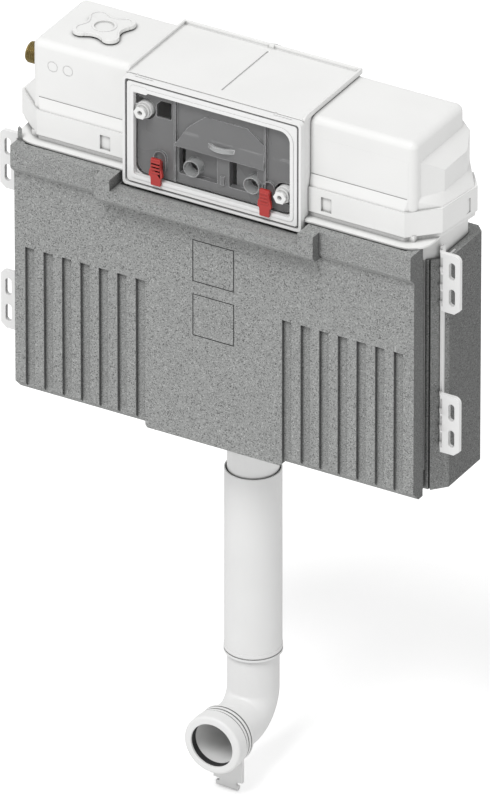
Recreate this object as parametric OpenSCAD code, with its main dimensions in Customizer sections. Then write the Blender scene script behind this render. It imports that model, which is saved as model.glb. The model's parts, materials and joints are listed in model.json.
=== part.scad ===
// Concealed toilet cistern with its foam jacket, inspection shaft, valves, flush pipe and bend.
// The origin lies in the wall plane, on the centre line, midway between the upper and lower fixing tabs.
// +X points right, +Y into the wall and +Z up. Depths are measured from the wall towards the room,
// and heights from the lower edge of the jacket's front.

/* [Tank] */
// Width of the hood between its end walls
hood_w = 412; // [404:1:420]
// Depth of the hood's front from the wall
hood_d = 98; // [97:0.5:100]
// Height of the hood's top
hood_top = 362; // [358:1:368]
// Radius of the hood's rounded edges
hood_r = 8; // [6:1:12]
// Wall thickness of the tank
tank_t = 3; // [2:0.5:4]
// Gap between the wall and the back of the hood
back_gap = 2; // [1:0.5:3]
// Width of the belt round the tank
belt_w = 462; // [458:1:470]
// Depth of the belt's front
belt_d = 102.5; // [101:0.5:105]
// Height of the belt's lower edge
belt_low = 264; // [263:0.5:266]
// Height of the belt's upper edge
belt_high = 290; // [286:1:292]
// Width of the sloped corner at each end of the belt
belt_corner = 33; // [28:1:36]
// Height of the slope between the belt and the hood
ledge_h = 12; // [8:1:14]
// How far the right shoulder reaches past the hood's end wall
shoulder_reach = 13.5; // [8:0.5:16]
// Height of the shoulder where it meets the hood
shoulder_top = 342; // [330:1:346]
// Depth of the lip that covers the jacket's top edge
lip_d = 112; // [109:1:114]
// Thickness of the lip
lip_t = 2; // [1.5:0.5:3]
// Width of the lower body inside the jacket
body_w = 436; // [430:1:438]
// Height of the lower body's underside
body_floor = 8; // [6:1:12]
// Gap between the wall and the lower body's back
body_back = 8.5; // [7:0.5:12]

/* [Jacket] */
// Thickness of the front shell's sides
front_wall = 9.5; // [8.5:0.5:10.5]
// Depth of the front shell's face
front_d = 115; // [113:1:117]
// Depth of the front shell's side flange
flange_d = 18; // [14:1:22]
// Depth of the band along the top edge
band_d = 122; // [120:1:124]
// Height of the band's lower edge
band_low = 229; // [224:1:236]
// Depth of the block below the shaft
block_d = 134; // [130:1:138]
// Width of the block below the shaft
block_w = 235.5; // [225:0.5:240]
// How far the jacket reaches below its lower front edge
skirt_h = 10; // [8:1:12]
// Width of the unchamfered middle of the skirt
skirt_mid_w = 144; // [136:1:150]
// Thickness of the rear shell's sides
rear_wall = 9; // [8:0.5:11]
// Depth of the rear shell's front face
rear_d = 82; // [78:1:86]
// Height of the rear shell's top edge
rear_top = 234; // [226:1:240]
// Size of the rear shell's front chamfer
rear_chamfer = 12; // [8:1:14]
// Number of grooves in each side panel
groove_n = 7; // [4:1:7]
// Spacing of the grooves
groove_pitch = 20; // [18:0.5:20]
// Width of one groove
groove_w = 10; // [6:1:12]
// Depth of one groove
groove_depth = 4; // [2:0.5:5]
// Height of the grooves
groove_h = 144.5; // [120:0.5:155]
// Distance of the first groove from the centre line
groove_start = 79; // [75:1:82]
// Side of the two square knock-outs
knockout = 45; // [36:1:50]
// Clearance between the foam and the tank
foam_gap = 0.5; // [0.3:0.1:0.8]

/* [Fixing brackets] */
// Height of the centre of the lower tabs
tab_low = 66.5; // [60:0.5:75]
// Distance between the upper and the lower tabs
tab_pitch = 151; // [140:1:155]
// Height of one tab
tab_h = 62; // [56:1:66]
// How far the tabs reach past the jacket
tab_reach = 21; // [18:1:24]
// Depth of the tabs' middle plane
tab_d = 84; // [84:0.5:88]
// Thickness of the bracket
tab_t = 4.4; // [3:0.2:6]
// Width of a fixing slot
slot_w = 6.5; // [5:0.5:8]
// Length of a fixing slot
slot_l = 18; // [14:1:22]
// Distance between the two slots of a tab
slot_pitch = 28; // [25:1:32]
// Distance of the slots' centre line from the tab's outer edge
slot_edge = 8.5; // [7:0.5:10]

/* [Inspection shaft] */
// Width of the shaft's front rim
shaft_w = 192; // [188:1:196]
// Height of the rim's lower edge
shaft_low = 248; // [247:0.5:250]
// Depth of the rim's front
shaft_d = 118; // [116:1:120]
// Wall thickness of the shaft
shaft_t = 2.5; // [2:0.5:3]
// Width of the window in the front frame
window_w = 168; // [162:1:170]
// Height of the window's lower edge
window_low = 260.5; // [258.5:0.5:262]
// Height of the window's upper edge
window_high = 350.5; // [348:0.5:352]
// Corner radius of the window
window_r = 11; // [6:1:12]
// Height of the top of the lid's rails
lid_top = 368; // [367:0.5:370]
// Height of the lid's rails above its panel
lid_rail_h = 3.6; // [2:0.2:4]
// Depth of the splash guard's front face
guard_d = 111; // [109:0.5:112]
// Thickness of the splash guard
guard_t = 2; // [1.5:0.5:3]

/* [Front fittings] */
// Distance of each plate stud from the centre line
stud_x = 75; // [72:0.5:75.5]
// Distance of each plate stud from the window's middle height
stud_h = 24.3; // [22.5:0.2:26.1]
// Outer radius of a plate stud's head
stud_r = 7.4; // [6.6:0.2:8.2]
// Radius of the screw hole in a plate stud
stud_bore_r = 2.5; // [1.5:0.1:3]
// Distance of each red latch from the centre line
latch_x = 58.5; // [57:0.5:60]
// Travel of a latch when it is unlocked
latch_travel = 8; // [6:1:10]
// Radius of a push rod guide
guide_r = 8.6; // [8:0.1:10]
// Position of the push rod guide for the full flush
full_x = -23.5; // [-25:0.5:-20]
// Position of the push rod guide for the part flush
part_x = 41; // [36:1:42]
// Height of the push rod guides
guide_h = 281.5; // [280.5:0.5:284]

/* [Water inlet] */
// Outer radius of the inlet thread
inlet_r = 10.48; // [8.2:0.02:10.48]
// Bore radius of the inlet
inlet_bore_r = 7.5; // [5:0.5:7.5]
// Length of thread outside the tank
inlet_out = 18; // [14:1:24]
// Distance of the inlet axis below the hood's top
inlet_drop = 32; // [28:1:36]
// Depth of the inlet axis
inlet_d = 70; // [66:1:74]
// Radius of the supply hose
hose_r = 4.5; // [3.5:0.5:5]
// Radius of the hose's bend
hose_bend_r = 34; // [30:1:36]

/* [Flush valve] */
// Depth of the flush pipe's axis
axis_d = 40; // [39:0.5:42]
// Bore radius of the outlet seat
seat_r = 19; // [17:0.5:19.5]
// Outer radius of the overflow tube
overflow_r = 14; // [12:0.5:15]
// Height of the overflow tube's top
overflow_top = 250; // [235:1:255]
// Lift of the valve at a full flush
valve_lift = 12.5; // [9:0.5:14]

/* [Flush pipe] */
// Outer radius of the flush pipe
pipe_r = 25; // [24.5:0.1:25]
// Wall thickness of the pipes
pipe_t = 1.8; // [1.5:0.1:2]
// Outer radius of the sleeve
sleeve_r = 27.6; // [27.5:0.1:28]
// Wall thickness of the sleeve
sleeve_t = 1.3; // [1:0.1:1.4]
// Height of the sleeve's top
sleeve_top = -68; // [-90:0.5:-60]
// Length of the sleeve
sleeve_l = 199; // [180:1:200]
// Radius of the bend's centre line
bend_r = 28; // [27:0.5:34]
// Height of the outlet axis
outlet_h = -334; // [-345:1:-330]
// Depth of the outlet's mouth
outlet_d = 119; // [117:1:125]
// Outer radius of the outlet's collar
collar_r = 30.5; // [29.5:0.1:31.5]
// Length of the outlet's collar
collar_l = 29; // [26:1:30]
// Radius of the opening in the outlet's seal
seal_r = 22.3; // [20:0.1:22.5]
// Width of the foot below the outlet
foot_w = 30; // [24:1:36]
// Height of the foot's lower edge
foot_low = -397; // [-405:1:-385]

/* [Hidden] */
$fn = 64;
round_fn = 32;
origin_h = tab_low + tab_pitch / 2;
inlet_h = hood_top - inlet_drop;
seat_gap = 0.3;
run_gap = 0.05;
cut = 1;

// Belt, ledge and hood plans as half outlines, from the front's middle to the back's middle
belt_bevel = belt_corner * 0.88;
belt_rear_bevel = [16, 21];
belt_draw = [7, 3];
ledge_rear_bevel = [9, 21];
hood_half = hood_w / 2;
belt_half = belt_w / 2;
ledge_half = hood_half + shoulder_reach;
ledge_top = belt_high + ledge_h;
ledge_rate = (belt_half - ledge_half) / ledge_h;
ridge_top = belt_high + (belt_half - hood_half) / ledge_rate;
shoulder_drop = 18;
ledge_step = 2;
corner_in = 7;
ridge_in = [12, 6];
corner_rear = 65;
front_top = 257;
lip_gap = 0.2;
lip_top = front_top + lip_gap + lip_t;
neck_in = 1.5;
lip_in = 10;
lip_corner_r = 24;
body_step = 12;
body_front_half = body_w / 2 - body_step;
body_corner_d = 84;
body_rear_bevel = 9.5;

shaft_half = shaft_w / 2;
rim_t = 2.7;
rim_groove = 2;
rim_top = hood_top + 1.5;
rim_d = 6.5;
rim_back_d = shaft_d - rim_d;
throat_half = shaft_half - 1.5;
throat_gap = 0.3;
throat_back = back_gap + tank_t + 1;
window_mid = (window_low + window_high) / 2;
frame_face = shaft_d - 0.5;
frame_back = shaft_d - 5;
frame_gap = 0.2;
border_w = 3.6;
border_h = 0.7;
lid_under = hood_top + 0.4;

outlet_x = 0;
thread_r = seat_r + 4;
nozzle_r = pipe_r - pipe_t - run_gap;
seat_flange_r = axis_d - body_back - tank_t - 0.5;
seat_flange_t = 3;
floor_top = body_floor + tank_t;
sleeve_bore_r = sleeve_r - sleeve_t;
sleeve_low = sleeve_top - sleeve_l;
bend_top = sleeve_low + 45;
bend_side_d = axis_d + bend_r;

function mirrored(half) = concat(half, [for (i = [len(half) - 1:-1:0]) [-half[i][0], half[i][1]]]);

// Moves a part from heights above the jacket's edge to the frame's origin
module placed() {
    translate([0, 0, -origin_h]) children();
}

// Extrudes an outline seen from above between two heights
module slab(low, high) {
    translate([0, 0, low]) linear_extrude(high - low) children();
}

// Extrudes an outline seen from the front between two depths
module front_slab(rear, front) {
    translate([0, -rear, 0]) rotate([90, 0, 0]) linear_extrude(front - rear) children();
}

// Extrudes an outline seen from the right side, with +Y across, between two widths
module side_slab(left, right) {
    translate([left, 0, 0]) rotate([90, 0, 90]) linear_extrude(right - left) children();
}

// Box between two corners given as width, depth and height
module block(x, d, h) {
    translate([x[0], -d[1], h[0]]) cube([x[1] - x[0], d[1] - d[0], h[1] - h[0]]);
}

// Upright cylinder at a width and depth
module post(x, d, low, high, r) {
    translate([x, -d, low]) cylinder(r = r, h = high - low);
}

// Cylinder along the depth, between two depths
module peg(x, h, rear, front, r) {
    translate([x, -rear, h]) rotate([90, 0, 0]) cylinder(r = r, h = front - rear);
}

// Cylinder along the width, between two widths
module spindle(left, right, d, h, r) {
    translate([left, -d, h]) rotate([0, 90, 0]) cylinder(r = r, h = right - left);
}

// Rectangle with round corners between two corner points
module round_rect(x, y, r) {
    translate([x[0] + r, y[0]]) square([x[1] - x[0] - 2 * r, y[1] - y[0]]);
    translate([x[0], y[0] + r]) square([x[1] - x[0], y[1] - y[0] - 2 * r]);
    for (cx = [x[0] + r, x[1] - r], cy = [y[0] + r, y[1] - r]) translate([cx, cy]) circle(r);
}

// Plan of the belt, moved inwards by inset; its right side is drawn in towards the front
module belt_plan(inset) {
    rear = belt_rear_bevel;
    front = [belt_half - belt_corner - inset, -belt_d + inset];
    side = [belt_half - inset, -belt_d + belt_bevel + inset];
    polygon([
        front, side - belt_draw, [belt_half - inset, -back_gap - rear[1] - inset],
        [belt_half - rear[0] - inset, -back_gap - inset], [rear[0] + inset - belt_half, -back_gap - inset],
        [inset - belt_half, -back_gap - rear[1] - inset], [-side[0], side[1]], [-front[0], front[1]]
    ]);
}

// Plan of the ledge's upper edge, moved inwards by inset
module ledge_plan(inset) {
    rear = ledge_rear_bevel;
    polygon(mirrored([
        [hood_half - corner_in - inset, -hood_d + inset],
        [ledge_half - inset, -corner_rear + inset],
        [ledge_half - inset, -back_gap - rear[1] - inset],
        [ledge_half - rear[0] - inset, -back_gap - inset]
    ]));
}

// Plan of the lower body, moved inwards by inset or outwards by a negative inset
module body_plan(inset) {
    polygon(mirrored([
        [body_front_half - inset, -hood_d + inset],
        [body_front_half - inset, -body_corner_d + inset / 2],
        [body_w / 2 - inset, -body_corner_d + body_step + inset / 2],
        [body_w / 2 - inset, -body_back - body_rear_bevel],
        [body_w / 2 - inset - body_rear_bevel, -body_back - inset]
    ]));
}

// Rounded hood, moved inwards by inset
module hood_form(inset) {
    r = hood_r - inset;
    hull() for (x = [-1, 1] * (hood_half - hood_r), y = [-back_gap - hood_r, -hood_d + hood_r]) {
        translate([x, y, hood_top - hood_r]) sphere(r, $fn = round_fn);
        translate([x, y, belt_low + inset]) cylinder(r = r, h = cut, $fn = round_fn);
    }
}

// Sloping ledge between the belt and the hood, with the ridge at its left end
module ledge_form(inset) {
    hull() {
        slab(belt_high - cut, belt_high - inset / 2) belt_plan(inset + ledge_step);
        slab(belt_high, ledge_top - inset / 2) ledge_plan(inset);
        block([-hood_half + inset, -hood_half + inset + cut], [ridge_in[0], hood_d - ridge_in[1]],
              [belt_high, ridge_top - inset / 2]);
    }
}

// Shoulder that carries the hood outwards at the right
module shoulder_form(inset) {
    high = shoulder_top - inset;
    intersection() {
        slab(belt_high - cut, hood_top) ledge_plan(inset);
        front_slab(0, belt_d) polygon([
            [0, belt_high - cut], [ledge_half, belt_high - cut],
            [ledge_half, high - shoulder_drop], [hood_half - 3, high], [0, high]
        ]);
    }
}

// Whole tank as a solid, moved inwards by inset
module tank_form(inset) {
    hood_form(inset);
    ledge_form(inset);
    shoulder_form(inset);
    slab(belt_low + inset, belt_high - inset / 2) belt_plan(inset);
    slab(body_floor + inset, belt_low + inset + cut) body_plan(inset);
}

// Lip on the jacket's top edge and the neck between it and the belt
module tank_lip() {
    slab(lip_top - lip_t, lip_top) lip_plan(0);
    slab(lip_top, belt_low) belt_plan(neck_in);
}

// Plan of the lip, moved outwards by out
module lip_plan(out) {
    r = lip_corner_r;
    steps = 6;
    half = belt_half - lip_in;
    polygon(mirrored([
        for (i = [0:steps]) [
            half - r + (r + out) * sin(i * 90 / steps), -lip_d + r - (r + out) * cos(i * 90 / steps)
        ],
        [half + out, -back_gap - belt_rear_bevel[1]], [half - belt_rear_bevel[0] + out, -back_gap]
    ]));
}

// Small square catch windows pressed into the belt
module belt_windows() {
    window = [11, 15];
    depth = tank_t - 0.6;
    mid = (belt_low + belt_high) / 2 - 2;
    for (x = [-124, 114]) {
        block([x - window[0] / 2, x + window[0] / 2], [belt_d - depth, belt_d + cut],
              [mid - window[1] / 2, mid + window[1] / 2]);
    }
    block([belt_half - depth, belt_half + cut], [34, 34 + window[0]], [mid - window[1] / 2, mid + window[1] / 2]);
}

module tank_shell() {
    color("whitesmoke") placed() difference() {
        union() {
            tank_form(0);
            tank_lip();
        }
        tank_form(tank_t);
        block([-1, 1] * (throat_half + throat_gap), [throat_back - throat_gap, lip_d + cut],
              [shaft_low + throat_gap, hood_top + cut]);
        block([-1, 1] * (shaft_half + throat_gap), [rim_back_d - throat_gap, lip_d + cut], [shaft_low, belt_low]);
        post(outlet_x, axis_d, body_floor - cut, floor_top + cut, thread_r + seat_gap);
        spindle(-hood_half - cut, -hood_half + tank_t + cut, inlet_d, inlet_h, neck_r + 0.2);
        post(cap_x, cap_d, hood_top - tank_t - cut, hood_top + cut, cap_stem_r + run_gap);
        belt_windows();
        for (x = [-183, -166.5]) mould_ring(x, hood_top - 24, 5.5);
        block([-1, 1] * (hood_half - hood_r), [hood_d - 0.5, hood_d + cut], [ledge_top, ledge_top + 0.8]);
    }
}

// Shallow ring left by a round mould insert
module mould_ring(x, h, r) {
    difference() {
        peg(x, h, hood_d - 0.3, hood_d + cut, r);
        peg(x, h, hood_d - 0.3 - cut, hood_d + 2 * cut, r - 0.7);
    }
}

// Half outlines of the two jacket shells
front_half = body_front_half + front_wall;
rear_half = body_w / 2 + rear_wall;
flange_in = 6.5;
skirt_slant = 7;
rear_bevel = 8;
joint_gap = 0.3;
tank_side = body_front_half + foam_gap;

// Upright grooves of one side panel
module panel_grooves() {
    for (side = [-1, 1], i = [0:groove_n - 1]) {
        x = side * (groove_start + i * groove_pitch);
        block([x - groove_w / 2, x + groove_w / 2], [front_d - groove_depth, front_d + cut], [-skirt_h - cut, 3 + groove_h]);
    }
}

// Thin square outlines that mark the two knock-outs
module knockout_lines() {
    line = 1;
    for (low = [104, 162]) {
        difference() {
            block([-1, 1] * knockout / 2, [front_d - line, front_d + cut], [low, low + knockout]);
            block([-1, 1] * (knockout / 2 - line), [front_d - 2 * line, front_d + 2 * cut],
                  [low + line, low + knockout - line]);
        }
    }
}

// Block that widens the band in the middle
module band_block() {
    soft = 5;
    side_slab(-block_w / 2, block_w / 2) polygon([
        [-front_d, band_low - 2], [-block_d + soft, band_low], [-block_d, band_low + soft],
        [-block_d, front_top], [-front_d, front_top]
    ]);
}

module jacket_front() {
    inner_d = hood_d + foam_gap;
    color("darkgray") placed() difference() {
        union() {
            slab(-skirt_h, front_top) polygon([
                [-front_half, -front_d], [front_half, -front_d],
                [front_half, -inner_d], [-front_half, -inner_d]
            ]);
            slab(-skirt_h, rear_top) polygon(mirrored([
                [front_half, -inner_d], [front_half, -front_d + flange_d],
                [front_half - flange_in, -front_d + flange_d], [front_half - flange_in, -rear_d - 2]
            ]));
            side_slab(-front_half, front_half) polygon([
                [-front_d, band_low - 3], [-band_d, band_low + 4], [-band_d, front_top], [-front_d, front_top]
            ]);
            band_block();
            slab(front_top, front_top + 12) polygon([
                [-front_half, -108], [-front_half + 9, -108], [-front_half, -97]
            ]);
        }
        block([-1, 1] * tank_side, [rear_d - cut, inner_d], [body_floor - foam_gap, front_top + cut]);
        slab(body_floor - foam_gap, front_top + cut) body_plan(-foam_gap);
        block([-1, 1] * (shaft_half + 5), [0, block_d + cut], [shaft_low - 3, front_top + cut]);
        block([-1, 1] * (shaft_half + 4), [0, shaft_d - 2], [shaft_low - 14, front_top + cut]);
        block([-1, 1] * (front_half - 10), [0, lip_d + 0.6], [front_top - 1.2, front_top + cut]);
        slab(front_top, front_top + 13) lip_plan(joint_gap);
        panel_grooves();
        knockout_lines();
        skirt_chamfers();
    }
}

// Chamfers under the two ends of the front shell, with slanted inner ends
module skirt_chamfers() {
    mid = skirt_mid_w / 2;
    out = front_half + cut;
    intersection() {
        side_slab(-out, out) polygon([
            [-front_d - cut, -skirt_h - cut], [-front_d + skirt_h, -skirt_h - cut],
            [-front_d + skirt_h, -skirt_h], [-front_d, 0], [-front_d - cut, 0]
        ]);
        for (side = [0, 1]) mirror([side, 0, 0]) front_slab(front_d - skirt_h - cut, front_d + 2 * cut) polygon([
            [mid, -skirt_h - 2 * cut], [mid, -skirt_h], [mid + skirt_slant, 0], [mid + skirt_slant, cut],
            [out + cut, cut], [out + cut, -skirt_h - 2 * cut]
        ]);
    }
}

// Slot in the rear shell that grips a bracket's spine
spine_x = rear_half - 4.5;
spine_t = 2.5;
spine_d = [50, 76];

module jacket_rear() {
    low = -skirt_h - 1.5;
    color("darkgray") placed() difference() {
        slab(low, rear_top) polygon(mirrored([
            [rear_half - rear_chamfer, -rear_d], [rear_half, -rear_d + rear_chamfer + 2],
            [rear_half, -rear_bevel], [rear_half - rear_bevel, 0]
        ]));
        slab(body_floor - foam_gap, rear_top + cut) body_plan(-foam_gap);
        for (side = [-1, 1]) {
            block([side * spine_x - spine_t / 2 - joint_gap, side * spine_x + spine_t / 2 + joint_gap],
                  [spine_d[0] - joint_gap, rear_d], [tab_low - tab_h / 2 - joint_gap, rear_top + cut]);
            block([side * (front_half - 2) - 1, side * (front_half - 2) + 1], [rear_d - 2, rear_d + cut],
                  [low - cut, rear_top + cut]);
        }
        post(outlet_x, axis_d, low - cut, body_floor, pipe_r + 3);
        post(outlet_x, axis_d, nut_low - 3, body_floor + cut, nut_r + 2);
    }
}

// Outline of one tab on the right side, with its slots and rib windows
module tab_outline(mid) {
    outer = rear_half + tab_reach;
    inner = rear_half + 0.3;
    high = mid + tab_h / 2;
    low = mid - tab_h / 2;
    gap_h = 16;
    difference() {
        union() {
            polygon([
                [inner, low], [outer - 6, low], [outer, low + 5], [outer, high - 6], [outer - 6, high], [inner, high]
            ]);
            translate([outer - 6, high - 6]) circle(6);
        }
        for (s = [-1, 1] * slot_pitch / 2) {
            translate([outer - slot_edge, mid + s]) {
                square([slot_w, slot_l - slot_w], center = true);
                for (e = [-1, 1] * (slot_l - slot_w) / 2) translate([0, e]) circle(slot_w / 2);
            }
        }
        for (i = [-1:1]) translate([inner - cut, mid + i * (gap_h + 2) - gap_h / 2]) square([3.2, gap_h]);
    }
}

// Right bracket: two tabs on ribs that reach back to a spine in the foam
module bracket_form() {
    tabs = [tab_low, tab_low + tab_pitch];
    for (mid = tabs) {
        front_slab(tab_d - tab_t / 2, tab_d + tab_t / 2) tab_outline(mid);
        for (i = [-1.5:1:1.5]) {
            rib = mid + i * 18;
            slab(rib - 1, rib + 1) polygon([
                [spine_x - spine_t / 2, -spine_d[1] + 4], [spine_x - spine_t / 2, -spine_d[1] - 1],
                [rear_half + 0.3, -tab_d - tab_t / 2], [rear_half + 4.3, -tab_d - tab_t / 2],
                [rear_half + 4.3, -tab_d + tab_t / 2], [spine_x + spine_t / 2, -spine_d[1] + 0.5],
                [spine_x + spine_t / 2, -spine_d[1] + 4]
            ]);
        }
    }
    block([spine_x - spine_t / 2, spine_x + spine_t / 2], spine_d, [tab_low - tab_h / 2, rear_top]);
    block([spine_x - spine_t / 2, spine_x + spine_t / 2], [spine_d[1] - 6, spine_d[1]],
          [rear_top - cut, tab_low + tab_pitch + tab_h / 2]);
}

module bracket_left() {
    color("white") placed() mirror([1, 0, 0]) bracket_form();
}

module bracket_right() {
    color("white") placed() bracket_form();
}

// Shaft: walls from the front rim back to the tank's rear wall, open at the bottom
module inspection_shaft() {
    inner_half = throat_half - shaft_t;
    wall_top = lid_under - frame_gap;
    rim_back = rim_back_d;
    color("white") placed() difference() {
        shaft_form(inner_half, wall_top, rim_back);
        for (x = [-1, 1] * clip_x) {
            block([x - clip_l / 2, x + clip_l / 2], [shaft_d - 4, shaft_d - 3.2], [rim_top - 0.7, rim_top + cut]);
        }
    }
}

// Marks of the lid's two clips on the rim
clip_x = 74.4;
clip_l = 20;

module shaft_form(inner_half, wall_top, rim_back) {
    union() {
        slab(shaft_low + 2 * throat_gap + 3, wall_top) difference() {
            polygon([
                [-throat_half, -throat_back], [throat_half, -throat_back],
                [throat_half, -rim_back], [-throat_half, -rim_back]
            ]);
            polygon([
                [-inner_half, -throat_back - shaft_t], [inner_half, -throat_back - shaft_t],
                [inner_half, -rim_back - cut], [-inner_half, -rim_back - cut]
            ]);
        }
        front_slab(rim_back, shaft_d) difference() {
            round_rect([-1, 1] * shaft_half, [shaft_low, rim_top], 4);
            round_rect([-1, 1] * (shaft_half - rim_t), [shaft_low + rim_t, rim_top - rim_t], 3);
        }
        front_slab(rim_back, frame_back - frame_gap) difference() {
            round_rect([-1, 1] * shaft_half, [shaft_low, rim_top], 4);
            round_rect([-1, 1] * (window_w / 2 + 1), [window_low - 1, window_high + 1], window_r);
        }
        block([-1, 1] * throat_half, [hood_d - 8, rim_back], [shaft_low + 2 * throat_gap, shaft_low + 2 * throat_gap + 3]);
        block([-1, 1] * throat_half, [rim_back - 12, rim_back], [wall_top - 6, wall_top]);
    }
}

// Flat inner frame round the window, with bosses for the plate studs
module guard_frame() {
    outer_half = shaft_half - rim_t - rim_groove;
    low = shaft_low + rim_t + rim_groove;
    high = rim_top - rim_t - rim_groove;
    boss_r = 8.5;
    color("white") placed() difference() {
        union() {
            front_slab(frame_back, frame_face) difference() {
                round_rect([-1, 1] * outer_half, [low, high], 3);
                window_outline(0);
            }
            front_slab(frame_face - cut, frame_face + border_h) difference() {
                union() {
                    window_outline(border_w);
                    round_rect([-window_w / 2 - border_w, stud_pad - window_w / 2], [window_high - 6, window_high + 5], 4);
                }
                window_outline(0);
            }
            front_slab(frame_back, frame_face + border_h)
                round_rect([-window_w / 2 - 1, stud_pad - window_w / 2], [window_high - 2, window_high + 3], 2);
            for (s = [-1, 1]) {
                x = -s * stud_x;
                h = window_mid + s * stud_h;
                peg(x, h, guard_d - 5, boss_front, boss_r);
                block([s > 0 ? -outer_half : stud_x, s > 0 ? -stud_x : outer_half], [frame_back, boss_front],
                      [h - 5, h + 5]);
            }
        }
        for (s = [-1, 1]) peg(-s * stud_x, window_mid + s * stud_h, guard_d - 6, shaft_d + cut, stud_shank_r + run_gap);
    }
}

// Outline of the window, moved outwards by out: square at the lower left, rounder at the right
module window_outline(out) {
    x = [-1, 1] * (window_w / 2 + out);
    y = [window_low - out, window_high + out];
    round_rect(x, y, window_r + out);
    for (low = [y[0], y[1] - window_r - out]) round_rect([x[0], 0], [low, low + window_r + out], 3 + out / 2);
    round_rect([0, x[1]], [y[0], y[0] + window_r + out], 3 + out / 2);
}

// Wider border above the upper stud, and the front of the stud bosses
stud_pad = 15;
boss_front = guard_d + 3.6;
stud_shank_r = 4.5;

// Two white bushes that take the screws of the flush plate
module plate_studs() {
    color("white") placed() for (s = [-1, 1]) {
        x = -s * stud_x;
        h = window_mid + s * stud_h;
        difference() {
            union() {
                peg(x, h, boss_front + frame_gap, boss_front + 1.2, stud_r);
                peg(x, h, boss_front + 1, boss_front + 1.8, stud_r - 1);
                peg(x, h, boss_front + 1.6, boss_front + 2.6, stud_r);
                peg(x, h, boss_front + 2, stud_front - 1, stud_r - 2.2);
                translate([x, 1.6 - stud_front, h]) rotate([90, 0, 0]) cylinder(r = stud_r - 0.6, h = 1.6, $fn = 6);
                peg(x, h, guard_d - 12, boss_front + 1, stud_shank_r);
            }
            peg(x, h, guard_d - 13, stud_front + cut, stud_bore_r);
        }
    }
}

stud_front = shaft_d + 4;

// Lid with its edge rails and the skirts that drop inside the shaft
module shaft_lid() {
    skirt_half = throat_half - shaft_t - seat_gap;
    rear = back_gap + 0.5;
    front = rim_back_d - seat_gap;
    edge_w = 2.6;
    panel_top = lid_top - lid_rail_h;
    seam_depth = 1.2;
    color("white") placed() difference() {
        union() {
            block([-1, 1] * shaft_half, [rear, front], [lid_under, panel_top]);
            block([-1, 1] * shaft_half, [rear, rear + edge_w], [lid_under, lid_top]);
            block([-1, 1] * edge_w, [rear, rear + 1.6 * edge_w], [lid_under, lid_top + 0.6]);
            for (s = [-1, 1]) {
                side_slab(s > 0 ? shaft_half - edge_w : -shaft_half, s > 0 ? shaft_half : -shaft_half + edge_w) polygon([
                    [-rear, lid_under], [-front, lid_under], [-front, panel_top + 1], [-front + 6, lid_top], [-rear, lid_top]
                ]);
                block([s > 0 ? skirt_half - 2 : -skirt_half, s > 0 ? skirt_half : -skirt_half + 2],
                      [20, rim_back_d - 16], [lid_under - 10, lid_under + cut]);
            }
        }
        block([-0.8, 0.8], [rear + 10, front - 12.5], [panel_top - seam_depth, lid_top + 2]);
        for (x = [-1, 1] * clip_x) {
            block([x - clip_l / 2, x - clip_l / 2 + 1.6], [front - 1.2, front + cut], [panel_top - 0.9, lid_top + 2]);
        }
    }
}

// Openings behind the sloped hood of the guard, on each side of the middle post
guard_bays = [[-39, 2], [15, 45]];
bay_h = [271, 302];
bay_slit = [4, 5];
pocket_d = 5;
pocket_t = 1.5;
bulge_x = [-41, 54];

// Sloping hood on the guard's front, above the openings
module guard_hood() {
    low = bay_h[1];
    high = low + 37;
    reach = 5;
    step = 0.8;
    difference() {
        front_slab(guard_d - cut, guard_d + reach) polygon([
            [bulge_x[0] - 0.5, low], [bulge_x[0] - 0.5, low + 2], [bulge_x[0] + 3, low + 6], [bulge_x[0] + 13, low + 22],
            [bulge_x[0] + 31, high], [bulge_x[1] - 19, high], [bulge_x[1] + 0.5, high - 13], [bulge_x[1] + 0.5, low]
        ]);
        side_slab(bulge_x[0] - cut, bulge_x[1] + cut) polygon([
            [-guard_d - reach, low + 4], [-guard_d - step, high], [-guard_d - step, high + cut],
            [-guard_d - reach - cut, high + cut], [-guard_d - reach - cut, low + 4]
        ]);
    }
}

// Pocket behind one opening, with a slit left open at its left side
module bay_pocket(bay, slit) {
    rear = guard_d - guard_t - pocket_d;
    edge = pocket_t;
    difference() {
        block([bay[0] - edge, bay[1] + edge], [rear, guard_d - cut], [bay_h[0] - edge, bay_h[1] + edge]);
        block(bay, [rear + edge, guard_d], bay_h);
        block([bay[0], bay[0] + slit], [rear - cut, guard_d], bay_h);
    }
}

// Half ring and legs that stand round a latch's top
module latch_arch(x, mid) {
    outer = 6.9;
    wall = 1;
    front_slab(guard_d - cut, guard_d + 2.5) translate([x, mid]) difference() {
        union() {
            circle(outer);
            translate([-outer, -12]) square([2 * outer, 12]);
        }
        circle(outer - wall);
        translate([wall - outer, -12 - cut]) square([2 * (outer - wall), 12 + cut]);
    }
}

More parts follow.
